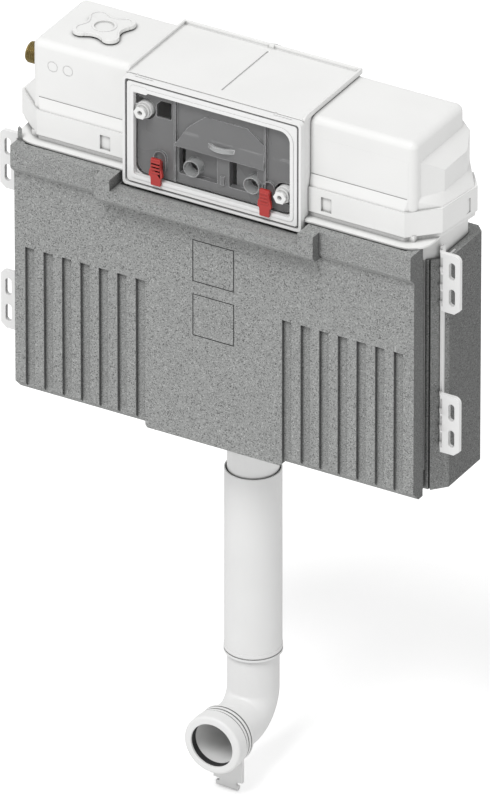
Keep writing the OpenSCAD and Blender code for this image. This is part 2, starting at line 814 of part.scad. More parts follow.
// Smoked guard with its ribs, hood, openings and pockets
module splash_guard() {
    gap = 0.4;
    face = guard_d;
    back = guard_d - guard_t;
    notch_r = 11;
    post_x = (guard_bays[0][1] + guard_bays[1][0]) / 2;
    color([0.45, 0.46, 0.47, 0.75]) placed() difference() {
        union() {
            difference() {
                front_slab(back, face) round_rect([-1, 1] * (window_w / 2 - gap), [window_low + gap, window_high - gap],
                                                  window_r);
                for (bay = guard_bays) block(bay, [back - cut, face + cut], bay_h);
            }
            for (i = [0, 1]) bay_pocket(guard_bays[i], bay_slit[i]);
            guard_hood();
            for (x = [bulge_x[0] - 1, bulge_x[1] + 1]) {
                block([x - 1, x + 1], [face - cut, face + 3], [window_low + 2, window_high - 3]);
            }
            for (s = [-1, 1]) latch_arch(s * latch_x, latch_low + 26);
            block([post_x - 2, post_x + 2], [face - cut, face + 2], [bay_h[0] + 1, bay_h[0] + 10]);
        }
        front_slab(back - cut, face + cut) polygon([
            [bulge_x[0] - 22, window_high - 26], [bulge_x[0] - 6, window_high - 26],
            [bulge_x[0] - 6, window_high - 8], [bulge_x[0] - 17, window_high - 8], [bulge_x[0] - 22, window_high - 13]
        ]);
        for (x = [full_x, part_x]) peg(x, guide_h, back - pocket_d - cut, face + 4, guide_r + 0.02);
        for (s = [-1, 1]) {
            peg(-s * stud_x, window_mid + s * stud_h, back - cut, face + 4, notch_r);
            block([s > 0 ? -window_w : stud_x, s > 0 ? -stud_x : window_w], [back - cut, face + 4],
                  [window_mid + s * stud_h - notch_r, window_mid + s * stud_h + notch_r]);
        }
        front_slab(back - cut, face + cut) translate([-window_w / 2, window_high - 3]) square([stud_pad + 1, 4]);
    }
}

// Curved pull handle on the front of the guard's hood
module guard_handle() {
    mid = [9, guard_d + 4];
    outer = 22;
    half_w = 14.3;
    low = bay_h[1] + 8;
    color([0.8, 0.8, 0.8, 0.6]) placed() difference() {
        slab(low, low + 4.5) intersection() {
            translate([mid[0], -mid[1] + outer - 5.3]) difference() {
                circle(outer);
                circle(outer - 2.4);
            }
            translate([mid[0] - half_w, -mid[1] - 6]) square([2 * half_w, 8.5]);
        }
        guard_hood();
    }
}

// Clear tubes that guide the push rods through the guard's pockets
module rod_guides() {
    rear = guard_d - guard_t - pocket_d;
    color([0.8, 0.8, 0.8, 0.6]) placed() for (x = [full_x, part_x]) {
        difference() {
            union() {
                peg(x, guide_h, rear - 2, guard_d + 4.5, guide_r);
                peg(x, guide_h, rear - 1.5, rear, guide_r + 1.5);
            }
            peg(x, guide_h, rear - 3, guard_d + 5.5, guide_r - 0.9);
        }
    }
}

latch_low = window_low - 3.5;
latch_rail = 2.2;

// Red sliding latch: tongue over the frame, wings and a ridged thumb pad
module latch_form(x) {
    face = shaft_d + 0.6;
    thick = 3;
    low = latch_low;
    color("firebrick") placed() translate([x, 0, 0]) {
        front_slab(face, face + thick) polygon(mirrored([
            [5, low], [5.4, low + 8], [7.4, low + 10], [6.6, low + 16], [5.4, low + 18], [5, low + 28]
        ]));
        for (i = [0:3]) {
            block([-4.6, 4.6], [face + thick - 0.2, face + thick + 0.8], [low + 13 + i * 3.6, low + 14.8 + i * 3.6]);
        }
        block([-1, 1] * latch_rail, [guard_d + seat_gap, face + 0.2], [low + 12, low + 30 - latch_travel]);
    }
}

module latch_left() {
    latch_form(-latch_x);
}

module latch_right() {
    latch_form(latch_x);
}

// Four-lobed cap on the hood
cap_x = -155;
cap_d = 50;
cap_stem_r = 15;
cap_t = 4;
cap_seal_t = 1;
lobe_out = 22;
lobe_r = 8.5;

module cap_outline() {
    difference() {
        union() {
            rotate(45) square(2 * lobe_out / sqrt(2) + 12, center = true);
            for (a = [45:90:315]) rotate(a) translate([lobe_out, 0]) circle(lobe_r);
        }
        for (a = [0:90:270]) rotate(a) translate([lobe_out + 10, 0]) circle(13.5);
    }
}

module blanking_cap() {
    low = hood_top + cap_seal_t + seat_gap;
    color("white") placed() difference() {
        union() {
            translate([cap_x, -cap_d, low]) linear_extrude(cap_t) cap_outline();
            post(cap_x, cap_d, hood_top - tank_t - 8, low + cut, cap_stem_r);
        }
        post(cap_x, cap_d, low + cap_t - 2, low + cap_t + cut, 9.5);
        translate([cap_x, -cap_d, low + cap_t - 0.7]) linear_extrude(1.7) difference() {
            scale([0.88, 0.88, 1]) cap_outline();
            circle(12);
        }
        post(cap_x, cap_d, hood_top - tank_t - 9, low - cut, cap_stem_r - 3);
    }
}

module cap_seal() {
    color("dimgray") placed() difference() {
        post(cap_x, cap_d, hood_top, hood_top + cap_seal_t, cap_stem_r + 3.5);
        post(cap_x, cap_d, hood_top - cut, hood_top + cap_seal_t + cut, cap_stem_r + 0.5);
    }
}

// Water inlet through the hood's left end wall
inlet_end = -hood_half - inlet_out;
inlet_in = -hood_half + tank_t;
neck_r = inlet_r - 0.5;
thread_l = 11;
nut_t = 6;
gasket_t = 2;
valve_left = inlet_in + gasket_t + nut_t + 1;
valve_body_l = 34;
spigot_x = valve_left + 14;
spigot_low = inlet_h - 30;

module inlet_nipple() {
    color("goldenrod") placed() difference() {
        union() {
            spindle(inlet_end, inlet_end + thread_l, inlet_d, inlet_h, inlet_r);
            spindle(inlet_end, valve_left + 6, inlet_d, inlet_h, neck_r);
        }
        spindle(inlet_end - cut, valve_left + 7, inlet_d, inlet_h, inlet_bore_r);
    }
}

module inlet_gasket() {
    color("dimgray") placed() difference() {
        spindle(inlet_in + run_gap, inlet_in + gasket_t, inlet_d, inlet_h, neck_r + 5);
        spindle(inlet_in - cut, inlet_in + gasket_t + cut, inlet_d, inlet_h, neck_r + 0.2);
    }
}

module inlet_nut() {
    left = inlet_in + gasket_t;
    color("goldenrod") placed() difference() {
        translate([left, -inlet_d, inlet_h]) rotate([0, 90, 0]) cylinder(r = neck_r + 6, h = nut_t, $fn = 6);
        spindle(left - cut, left + nut_t + cut, inlet_d, inlet_h, neck_r + 0.1);
    }
}

// Stop valve inside the tank, with its outlet pointing down
module stop_valve_body() {
    color("white") placed() difference() {
        union() {
            spindle(valve_left, valve_left + valve_body_l, inlet_d, inlet_h, neck_r + 3.5);
            post(spigot_x, inlet_d, spigot_low, inlet_h, 7);
        }
        spindle(valve_left - cut, valve_left + 6.3, inlet_d, inlet_h, neck_r + 0.1);
        spindle(valve_left + 6, valve_left + 20, inlet_d, inlet_h, inlet_bore_r);
        spindle(valve_left + 19, valve_left + valve_body_l + cut, inlet_d, inlet_h, knob_stem_r + run_gap);
        post(spigot_x, inlet_d, spigot_low - cut, inlet_h, hose_r - 1.2);
    }
}

knob_stem_r = 4;

module stop_valve_knob() {
    left = valve_left + valve_body_l + seat_gap;
    color("lightgray") placed() difference() {
        union() {
            spindle(left, left + 12, inlet_d, inlet_h, 12);
            for (a = [0:45:315]) {
                translate([left + 1, -inlet_d, inlet_h]) rotate([a, 0, 0]) translate([0, 0, 11.5])
                    rotate([0, 90, 0]) cylinder(r = 2, h = 10);
            }
            spindle(left - 12, left + cut, inlet_d, inlet_h, knob_stem_r);
        }
        block([left + 10.5, left + 13], [inlet_d - 8, inlet_d + 8], [inlet_h - 1, inlet_h + 1]);
    }
}

// Supply hose: down from the stop valve, round a half turn and up to the fill valve
hose_turn = [50, 46];
hose_span = norm(hose_turn);
hose_to = [spigot_x + hose_turn[0] * 2 * hose_bend_r / hose_span, inlet_d - hose_turn[1] * 2 * hose_bend_r / hose_span];
hose_nut_h = 10;
hose_top = spigot_low - hose_nut_h;
hose_drop = 30;
head_low = spigot_low - 4;

module hose_nuts() {
    color("silver") placed() {
        for (p = [[spigot_x, inlet_d, spigot_low], [hose_to[0], hose_to[1], head_low]]) {
            difference() {
                translate([p[0], -p[1], hose_top]) cylinder(r = 9.5, h = p[2] - hose_top, $fn = 6);
                post(p[0], p[1], hose_top - cut, p[2] + cut, hose_r - 1.2);
            }
        }
    }
}

module hose_ring() {
    wall = 1.2;
    difference() {
        circle(hose_r);
        circle(hose_r - wall);
    }
}

module supply_hose() {
    angle = atan2(hose_turn[1], hose_turn[0]);
    mid_x = (spigot_x + hose_to[0]) / 2;
    mid_d = (inlet_d + hose_to[1]) / 2;
    color("lightgray") placed() translate([mid_x, -mid_d, hose_top - hose_drop]) rotate([0, 0, angle]) {
        rotate([-90, 0, 0]) rotate_extrude(angle = 180) translate([hose_bend_r, 0]) hose_ring();
        for (s = [-1, 1]) translate([s * hose_bend_r, 0, 0]) linear_extrude(hose_drop) hose_ring();
    }
}

// Fill valve hanging from the hood: head, down pipe, float and lever
head_x = [hose_to[0] - 12, hose_to[0] + 26];
head_d = [hose_to[1] - 11, hose_to[1] + 27];
head_h = 18;
down_x = hose_to[0] + 12;
down_d = hose_to[1] + 16;
down_r = 9;
down_low = 118;
float_low = 138;
float_h = 50;
float_r = 21;
float_travel = 8;
stop_t = 2;
lever_pivot_x = down_x - 17;
lever_arm = 36;
lever_h = head_low + head_h + 5;
rod_x = lever_pivot_x + lever_arm;

module fill_valve_body() {
    color("white") placed() difference() {
        union() {
            block(head_x, head_d, [head_low + 3, head_low + head_h]);
            post(hose_to[0], hose_to[1], head_low, head_low + 4, 9);
            post(down_x, down_d, down_low, head_low + 4, down_r);
            for (h = [float_low - seat_gap - stop_t, float_low + float_h + float_travel + 2 * seat_gap]) {
                post(down_x, down_d, h, h + stop_t, down_r + 2.5);
            }
            for (s = [-1, 1]) {
                block([lever_pivot_x - 4, lever_pivot_x + 4], [down_d + s * 5.5 - 1.5, down_d + s * 5.5 + 1.5],
                      [head_low + head_h - cut, lever_h + 4]);
            }
        }
        post(hose_to[0], hose_to[1], head_low - cut, head_low + 10, hose_r - 1.2);
        post(down_x, down_d, down_low - cut, head_low + 10, down_r - 2);
        translate([lever_pivot_x, 0, lever_h]) rotate([90, 0, 0]) cylinder(r = 1.6, h = hood_d);
    }
}

module fill_valve_bracket() {
    top = hood_top - tank_t;
    mid = (head_x[0] + head_x[1]) / 2;
    color("white") placed() {
        block([mid - 10, mid + 10], [head_d[0] - 4, head_d[0]], [head_low + 2, top - 8]);
        block([mid - 10, mid + 10], [back_gap + tank_t + run_gap, head_d[0] - 2], [head_low + head_h + 5, head_low + head_h + 11]);
        block([mid - 10, mid + 10], [head_d[0] - 2, head_d[0] + 8], [head_low + head_h, head_low + head_h + 2]);
    }
}

module fill_float() {
    color("white") placed() {
        difference() {
            post(down_x, down_d, float_low, float_low + float_h, float_r);
            post(down_x, down_d, float_low - cut, float_low + float_h + cut, down_r + 0.4);
            difference() {
                post(down_x, down_d, float_low - cut, float_low + float_h - 3, float_r - 2);
                post(down_x, down_d, float_low - 2 * cut, float_low + float_h, down_r + 2.4);
            }
        }
        post(rod_x, down_d, float_low + float_h - cut, lever_h + 10, 1.5);
        for (h = [lever_h - 4.5, lever_h + 3]) post(rod_x, down_d, h, h + 1.5, 3);
    }
}

// Lever between the float's rod and the pilot valve on the head
module float_lever() {
    color("white") placed() difference() {
        union() {
            block([lever_pivot_x - 3, rod_x + 4], [down_d - 3.5, down_d + 3.5], [lever_h - 2, lever_h + 2]);
            translate([lever_pivot_x, -down_d + 7.5, lever_h]) rotate([90, 0, 0]) cylinder(r = 1.55, h = 15);
            block([lever_pivot_x + 3, lever_pivot_x + 10], [down_d - 2, down_d + 2], [lever_h - 3.5, lever_h - 1]);
        }
        block([rod_x - 3, rod_x + 5], [down_d - 2, down_d + 2], [lever_h - 3, lever_h + 3]);
    }
}

// Outlet in the tank's floor
nut_r = thread_r + 8;
nut_h = 7;
gasket_low = body_floor - 2;
nut_low = gasket_low - nut_h;

module outlet_seat() {
    lip_h = 1.7;
    top = floor_top + seat_flange_t;
    color("white") placed() difference() {
        union() {
            post(outlet_x, axis_d, floor_top, top, seat_flange_r);
            post(outlet_x, axis_d, top - cut, top + lip_h, seat_r + 2);
            post(outlet_x, axis_d, nut_low - 2, floor_top + cut, thread_r);
            post(outlet_x, axis_d, nut_low - 22, nut_low, nozzle_r);
        }
        post(outlet_x, axis_d, nut_low - cut, top + lip_h + cut, seat_r);
        post(outlet_x, axis_d, nut_low - 23, nut_low, nozzle_r - 2);
    }
}

module outlet_gasket() {
    color("dimgray") placed() difference() {
        post(outlet_x, axis_d, gasket_low, body_floor, nut_r - 3);
        post(outlet_x, axis_d, gasket_low - cut, body_floor + cut, thread_r + 0.2);
    }
}

module outlet_nut() {
    color("white") placed() difference() {
        union() {
            post(outlet_x, axis_d, nut_low, gasket_low, nut_r - 3);
            for (a = [0:45:315]) {
                translate([outlet_x, -axis_d, nut_low]) rotate([0, 0, a]) translate([nut_r - 6, -3, 0])
                    cube([6, 6, nut_h]);
            }
        }
        post(outlet_x, axis_d, nut_low - cut, gasket_low + cut, thread_r + 0.1);
    }
}

// Cage of the flush valve: base ring, four posts and the guide ring
cage_low = floor_top + seat_flange_t;
cage_r = seat_flange_r - 0.5;
guide_low = 180;
rod_off = 18;

module valve_cage() {
    color("white") placed() difference() {
        union() {
            difference() {
                post(outlet_x, axis_d, cage_low, cage_low + 8, cage_r);
                post(outlet_x, axis_d, cage_low - cut, cage_low + 9, cage_r - 3);
            }
            for (a = [45:90:315]) {
                translate([outlet_x, -axis_d, 0]) rotate(a) translate([cage_r - 2.2, 0, cage_low + 4])
                    cylinder(r = 2.2, h = guide_low - cage_low);
            }
            post(outlet_x, axis_d, guide_low, guide_low + 8, cage_r);
        }
        post(outlet_x, axis_d, guide_low - cut, guide_low + 9, overflow_r + 0.4);
        for (s = [-1, 1]) {
            block([s * rod_off - 4, s * rod_off + 4], [axis_d - 4, axis_d + 4], [guide_low - cut, guide_low + 9]);
        }
    }
}

// Overflow tube with the bell that closes the outlet
seal_low = cage_low + 1.7 + seat_gap;
seal_t = 3;
collar_out = 1.8;

module overflow_tube() {
    bell_r = seat_r + 2.5;
    color("white") placed() difference() {
        union() {
            post(outlet_x, axis_d, seal_low + seal_t, overflow_top, overflow_r);
            post(outlet_x, axis_d, seal_low + seal_t, seal_low + seal_t + 6, bell_r);
            post(outlet_x, axis_d, seal_low + seal_t + 5, seal_low + seal_t + 18, overflow_r + 5);
            post(outlet_x, axis_d, overflow_top - 12, overflow_top - 8, overflow_r + collar_out);
        }
        post(outlet_x, axis_d, seal_low, overflow_top + cut, overflow_r - 2);
    }
}

module valve_seal() {
    color("dimgray") placed() difference() {
        post(outlet_x, axis_d, seal_low, seal_low + seal_t, seat_r + 3);
        post(outlet_x, axis_d, seal_low - cut, seal_low + seal_t + cut, overflow_r - 2);
    }
}

// Levers and lift rods
axle_d = 80;
pad_drop = 21;
axle_h = guide_h + pad_drop;
axle_r = 2.5;
eye_h = axle_h;
finger_r = 2.5;
rod_w = 8;
lift_arm = axle_d - axis_d;
swing_slack = lift_arm - sqrt(lift_arm * lift_arm - valve_lift * valve_lift);

// Eye at a lift rod's top, seen from the side
module rod_head(x, low) {
    high = eye_h + 9;
    difference() {
        block([x - 1.5, x + 1.5], [axis_d - rod_w / 2 - 3, axis_d + rod_w / 2 + 3], [eye_h - 9, high]);
        block([x - 3, x + 3], [axis_d - finger_r - 1, axis_d + finger_r + swing_slack + 0.6],
              [eye_h - finger_r - 1, eye_h + finger_r + 1]);
    }
    block([x - 1.5, x + 1.5], [axis_d - 3, axis_d + 3], [low, eye_h - 8]);
}

module full_lift_rod() {
    color("white") placed() {
        difference() {
            union() {
                rod_head(-rod_off, guide_low + 16);
                post(outlet_x, axis_d, overflow_top - 30, overflow_top - 20, overflow_r + collar_out);
                block([-rod_off - 1.5, -overflow_r], [axis_d - 3, axis_d + 3], [overflow_top - 30, overflow_top - 20]);
            }
            post(outlet_x, axis_d, overflow_top - 31, overflow_top - 19, overflow_r + 0.1);
        }
    }
}

// Float of the part flush, carried on its own rod round the overflow tube
module part_flush_float() {
    low = 92;
    color("white") placed() difference() {
        union() {
            rod_head(rod_off, low + 40);
            post(outlet_x, axis_d, low, low + 42, overflow_r + 8);
        }
        post(outlet_x, axis_d, low - cut, low + 43, overflow_r + 0.4);
    }
}

// Cross bar between the shaft's side walls, with ears for the levers' axle
carrier_d = [56, 66];
carrier_h = [axle_h + 15, axle_h + 21];
ear_x = [-33, 4, 50];
ear_t = 3;

module lever_carrier() {
    half = throat_half - shaft_t;
    color("gainsboro") placed() difference() {
        union() {
            block([-half, half], carrier_d, carrier_h);
            for (x = ear_x) {
                side_slab(x, x + ear_t) polygon([
                    [-carrier_d[0], carrier_h[0] + cut], [-carrier_d[0], carrier_h[0] - 4], [-axle_d + 6, axle_h - 6],
                    [-axle_d - 6, axle_h - 6], [-axle_d - 6, axle_h + 6], [-carrier_d[1], carrier_h[0] + cut]
                ]);
            }
            for (s = [-1, 1]) {
                block([s > 0 ? half - 3 : -half, s > 0 ? half : -half + 3], [carrier_d[0] - 4, carrier_d[1] + 4],
                      [carrier_h[0] - 8, carrier_h[1] + 8]);
            }
        }
        spindle(ear_x[0] - cut, ear_x[2] + ear_t + cut, axle_d, axle_h, axle_r + 0.02);
    }
}

module lever_axle() {
    color("silver") placed() spindle(ear_x[0] - 2, ear_x[2] + ear_t + 2, axle_d, axle_h, axle_r);
}

// Bell crank: the push rod's pad hangs in front, the lifting arm reaches back to a rod's eye
module lever_form(hub, pad_x, arm_x) {
    pad_d = axle_d + 13;
    hub_r = 5.5;
    color("gainsboro") placed() difference() {
        union() {
            spindle(hub[0], hub[1], axle_d, axle_h, hub_r);
            block([pad_x - 2, pad_x + 2], [axle_d + 2, pad_d], [guide_h - 3, axle_h]);
            peg(pad_x, guide_h, pad_d - 2, pad_d + 1.5, 6);
            block([arm_x - 2, arm_x + 2], [axis_d - 3, axle_d], [axle_h - 3.5, axle_h + 3.5]);
            spindle(min(arm_x, arm_x + sign(arm_x) * 7), max(arm_x, arm_x + sign(arm_x) * 7), axis_d, eye_h, finger_r);
        }
        spindle(hub[0] - cut, hub[1] + cut, axle_d, axle_h, axle_r + run_gap);
    }
}

module full_flush_lever() {
    lever_form([ear_x[0] + ear_t + seat_gap, ear_x[1] - seat_gap], full_x, -rod_off + 5);
}

module part_flush_lever() {
    lever_form([ear_x[1] + ear_t + seat_gap, ear_x[2] - seat_gap], part_x, rod_off - 5);
}

// Straight flush pipe from the outlet into the sleeve
pipe_low = sleeve_low + 75;

module flush_pipe() {
    color("whitesmoke") placed() difference() {
        post(outlet_x, axis_d, pipe_low, nut_low - 3, pipe_r);
        post(outlet_x, axis_d, pipe_low - cut, nut_low - 2, pipe_r - pipe_t);
    }
}

module pipe_seals() {
    color("dimgray") placed() for (low = [sleeve_top - 7.5, sleeve_low - 1.2]) {
        difference() {
            post(outlet_x, axis_d, low, low + 6, sleeve_bore_r - 0.02);
            post(outlet_x, axis_d, low - cut, low + 7, pipe_r + 0.02);
        }
    }
}

// Sleeve with a bead and a groove at its lower end
bead_h = 2.4;
bead_groove = 1.2;
ridge_h = 5;

module pipe_sleeve() {
    color("whitesmoke") placed() difference() {
        union() {
            post(outlet_x, axis_d, sleeve_low, sleeve_top, sleeve_r);
            post(outlet_x, axis_d, sleeve_low, sleeve_low + bead_h, sleeve_r + 0.6);
            post(outlet_x, axis_d, sleeve_low + bead_h, sleeve_low + bead_h + ridge_h, sleeve_r + 0.4);
        }
        difference() {
            post(outlet_x, axis_d, sleeve_low + bead_h, sleeve_low + bead_h + bead_groove, sleeve_r + 1);
            post(outlet_x, axis_d, sleeve_low, sleeve_low + 2 * bead_h, sleeve_r - 0.5);
        }
        post(outlet_x, axis_d, sleeve_low - cut, sleeve_top + cut, sleeve_bore_r);
    }
}

// Ring-shaped outline of the pipe wall
module pipe_ring() {
    difference() {
        circle(pipe_r);
        circle(pipe_r - pipe_t);
    }
}

// Bend with the foot that holds it off the wall
module flush_bend() {
    bend_end = outlet_d - 9;
    foot_d = [83, 87];
    color("whitesmoke") placed() {
        slab(outlet_h + bend_r, bend_top) translate([outlet_x, -axis_d]) pipe_ring();
        translate([outlet_x, -bend_side_d, outlet_h + bend_r]) rotate([90, 0, 90]) rotate([0, 0, -90])
            rotate_extrude(angle = 90) translate([bend_r, 0]) pipe_ring();
        difference() {
            union() {
                peg(outlet_x, outlet_h, bend_side_d, bend_end, pipe_r);
                front_slab(foot_d[0], foot_d[1]) foot_outline();
            }
            peg(outlet_x, outlet_h, bend_side_d - cut, bend_end + cut, pipe_r - pipe_t);
        }
    }
}

// Foot plate with its hooked lower edge
module foot_outline() {
    half = foot_w / 2;
    low = foot_low;
    polygon([
        [-half + 0.5, outlet_h], [-half + 0.5, low + 15], [-half - 1.5, low + 13.5], [-half - 1.5, low + 9],
        [-half + 5, low + 8.5], [-half + 5, low + 6], [-half + 1, low + 5.5], [-half + 1, low + 1],
        [half - 5, low], [half - 4, low + 4], [half - 7, low + 5], [half - 7, low + 8.5], [half, low + 9], [half, outlet_h]
    ]);
}

// Collar with a rounded front ring and three ribs
lip_r = seal_r + 0.3;
seal_out_r = 26.2;
seal_rear = 9;
seal_front = 2.5;

module bend_collar() {
    rear = outlet_d - collar_l;
    rib = [3.2, 1.6];
    pitch = rib[0] + rib[1];
    ring_l = collar_l - 3 * pitch;
    soft = 3;
    color("whitesmoke") placed() difference() {
        union() {
            translate([outlet_x, ring_l - outlet_d, outlet_h]) rotate([90, 0, 0]) rotate_extrude()
                union() {
                    translate([lip_r - 1, 0]) square([collar_r - lip_r + 1, ring_l - soft]);
                    translate([lip_r - 1, 0]) square([collar_r - lip_r + 1 - soft, ring_l]);
                    translate([collar_r - soft, ring_l - soft]) circle(soft);
                }
            peg(outlet_x, outlet_h, rear, outlet_d - soft, collar_r - soft);
            for (i = [0:2]) peg(outlet_x, outlet_h, rear + i * pitch, rear + i * pitch + rib[0], collar_r - 0.8);
        }
        peg(outlet_x, outlet_h, rear - cut, outlet_d - seal_rear + 0.1, pipe_r + 0.02);
        peg(outlet_x, outlet_h, outlet_d - seal_rear, outlet_d - seal_front, seal_out_r);
        peg(outlet_x, outlet_h, outlet_d - seal_front - cut, outlet_d + cut, lip_r);
    }
}

module collar_seal() {
    color("black") placed() difference() {
        peg(outlet_x, outlet_h, outlet_d - seal_rear + 0.1, outlet_d - seal_front - 0.1, seal_out_r - 0.02);
        peg(outlet_x, outlet_h, outlet_d - seal_rear - cut, outlet_d, seal_r);
    }
}

tank_shell();
jacket_front();
jacket_rear();
bracket_left();
bracket_right();
inspection_shaft();
guard_frame();
shaft_lid();
splash_guard();
guard_handle();
rod_guides();
latch_left();
latch_right();
plate_studs();
cap_seal();
blanking_cap();
inlet_nipple();
inlet_gasket();
inlet_nut();
stop_valve_body();
stop_valve_knob();
hose_nuts();
supply_hose();
fill_valve_body();
fill_valve_bracket();
fill_float();
float_lever();
outlet_seat();
outlet_gasket();
outlet_nut();
valve_cage();
overflow_tube();
valve_seal();
full_lift_rod();
part_flush_float();
lever_carrier();
lever_axle();
full_flush_lever();
part_flush_lever();
flush_pipe();
pipe_seals();
pipe_sleeve();
flush_bend();
bend_collar();
collar_seal();
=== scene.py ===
"""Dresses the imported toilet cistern: softened mouldings, foam, smoked guard, thread, hose and studio."""

import json
import logging
import math
from dataclasses import dataclass, field
from enum import Enum
from typing import Callable

import bmesh
import bpy
import numpy as np
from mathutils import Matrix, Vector

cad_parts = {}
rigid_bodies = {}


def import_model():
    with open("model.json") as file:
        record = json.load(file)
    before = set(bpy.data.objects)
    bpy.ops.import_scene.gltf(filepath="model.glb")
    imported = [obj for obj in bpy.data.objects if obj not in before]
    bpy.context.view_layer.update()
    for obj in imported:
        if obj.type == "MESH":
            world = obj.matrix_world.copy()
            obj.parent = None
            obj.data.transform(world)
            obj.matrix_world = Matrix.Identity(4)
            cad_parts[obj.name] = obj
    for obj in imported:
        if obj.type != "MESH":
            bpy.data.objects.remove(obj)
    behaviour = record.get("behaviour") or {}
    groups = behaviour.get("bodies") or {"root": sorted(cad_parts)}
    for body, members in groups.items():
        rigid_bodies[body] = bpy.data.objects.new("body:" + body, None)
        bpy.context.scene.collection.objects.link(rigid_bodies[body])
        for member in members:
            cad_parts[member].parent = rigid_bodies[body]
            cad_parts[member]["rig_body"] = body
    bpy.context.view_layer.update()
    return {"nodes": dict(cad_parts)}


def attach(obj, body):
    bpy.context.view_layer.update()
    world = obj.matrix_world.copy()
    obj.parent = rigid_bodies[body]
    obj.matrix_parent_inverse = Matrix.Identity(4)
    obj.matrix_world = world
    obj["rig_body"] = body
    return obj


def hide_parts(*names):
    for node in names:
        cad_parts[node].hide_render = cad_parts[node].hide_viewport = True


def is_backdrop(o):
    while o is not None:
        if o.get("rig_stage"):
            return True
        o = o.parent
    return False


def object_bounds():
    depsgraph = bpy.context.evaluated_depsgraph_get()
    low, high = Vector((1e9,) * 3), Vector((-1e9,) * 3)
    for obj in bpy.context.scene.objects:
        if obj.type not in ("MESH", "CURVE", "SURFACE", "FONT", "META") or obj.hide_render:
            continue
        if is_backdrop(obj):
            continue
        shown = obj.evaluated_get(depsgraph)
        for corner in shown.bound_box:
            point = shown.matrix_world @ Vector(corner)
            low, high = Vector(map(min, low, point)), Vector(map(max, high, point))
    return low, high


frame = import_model()

# One millimetre in metres, and the height of the frame's origin above the jacket's lower front edge, in mm
MM = 0.001
ORIGIN_H = 142.0
LOG = logging.getLogger("cistern")
TURN = 2.0 * math.pi


class Body(Enum):
    """Bodies of the frame that the swept pieces ride on."""

    CASING = "casing"


# Shader node helpers


class NodeTree:
    """Small helper that adds and links nodes in one node tree."""

    # Places of the Mix node's two colour inputs and of its colour result
    MIX_COLOURS = (6, 7)
    MIX_RESULT = 2

    def __init__(self, tree: bpy.types.NodeTree) -> None:
        """Keeps the tree.

        Args:
            tree: Material or group node tree to build in.
        """
        self.tree = tree

    def add(self, kind: str, **values: object) -> bpy.types.Node:
        """Adds a node, sets its properties and its inputs.

        Args:
            kind: Node type, without the ShaderNode prefix.
            **values: Properties by name, or inputs by name with spaces as underscores and a leading "i_".

        Returns:
            The new node.
        """
        node = self.tree.nodes.new(kind if kind.startswith("NodeGroup") else "ShaderNode" + kind)
        for name, value in values.items():
            if name.startswith("i_"):
                label = name[2:]
                self.put(value, node.inputs[int(label) if label.isdigit() else label.replace("_", " ")])
            else:
                setattr(node, name, value)
        return node

    def put(self, value: object, socket: bpy.types.NodeSocket) -> None:
        """Links a socket to an input, or writes a constant on it.

        Args:
            value: Output socket or constant.
            socket: Input socket that takes it.
        """
        if isinstance(value, bpy.types.NodeSocket):
            self.tree.links.new(value, socket)
        else:
            socket.default_value = value

    def math(self, operation: str, *values: object, clamp: bool = False) -> bpy.types.NodeSocket:
        """Adds a Math node.

        Args:
            operation: Name of the operation.
            *values: Its inputs in order.
            clamp: Whether the result is held between 0 and 1.

        Returns:
            The result's socket.
        """
        node = self.add("Math", operation=operation, use_clamp=clamp)
        for value, socket in zip(values, node.inputs):
            self.put(value, socket)
        return node.outputs[0]

    def mix(self, factor: object, first: object, second: object) -> bpy.types.NodeSocket:
        """Mixes two colours.

        Args:
            factor: Share of the second colour.
            first: First colour.
            second: Second colour.

        Returns:
            The mixed colour's socket.
        """
        node = self.add("Mix", data_type="RGBA")
        self.put(factor, node.inputs[0])
        for colour, place in zip((first, second), self.MIX_COLOURS):
            self.put(colour, node.inputs[place])
        return node.outputs[self.MIX_RESULT]

    def ramp(self, value: bpy.types.NodeSocket, low: float, high: float) -> bpy.types.NodeSocket:
        """Maps low..high to 0..1 smoothly.

        Args:
            value: Socket to map.
            low: Value that becomes 0.
            high: Value that becomes 1.

        Returns:
            The mapped value's socket.
        """
        node = self.add("MapRange", interpolation_type="SMOOTHSTEP")
        self.put(value, node.inputs[0])
        node.inputs[1].default_value = low
        node.inputs[2].default_value = high
        return node.outputs[0]


def new_group(name: str, inputs: dict[str, float], outputs: dict[str, str],
              build: Callable[[NodeTree, bpy.types.Node, bpy.types.Node], None]) -> bpy.types.NodeTree:
    """Makes a shader node group once.

    Args:
        name: Name of the group.
        inputs: Float inputs with their defaults.
        outputs: Outputs with their socket kinds.
        build: Function that fills the group between its input and output nodes.

    Returns:
        The group's node tree.
    """
    group = bpy.data.node_groups.new(name, "ShaderNodeTree")
    for label, default in inputs.items():
        socket = group.interface.new_socket(label, in_out="INPUT", socket_type="NodeSocketFloat")
        socket.default_value = default
    for label, kind in outputs.items():
        group.interface.new_socket(label, in_out="OUTPUT", socket_type="NodeSocket" + kind)
    tree = NodeTree(group)
    build(tree, tree.add("NodeGroupInput"), tree.add("NodeGroupOutput"))
    return group


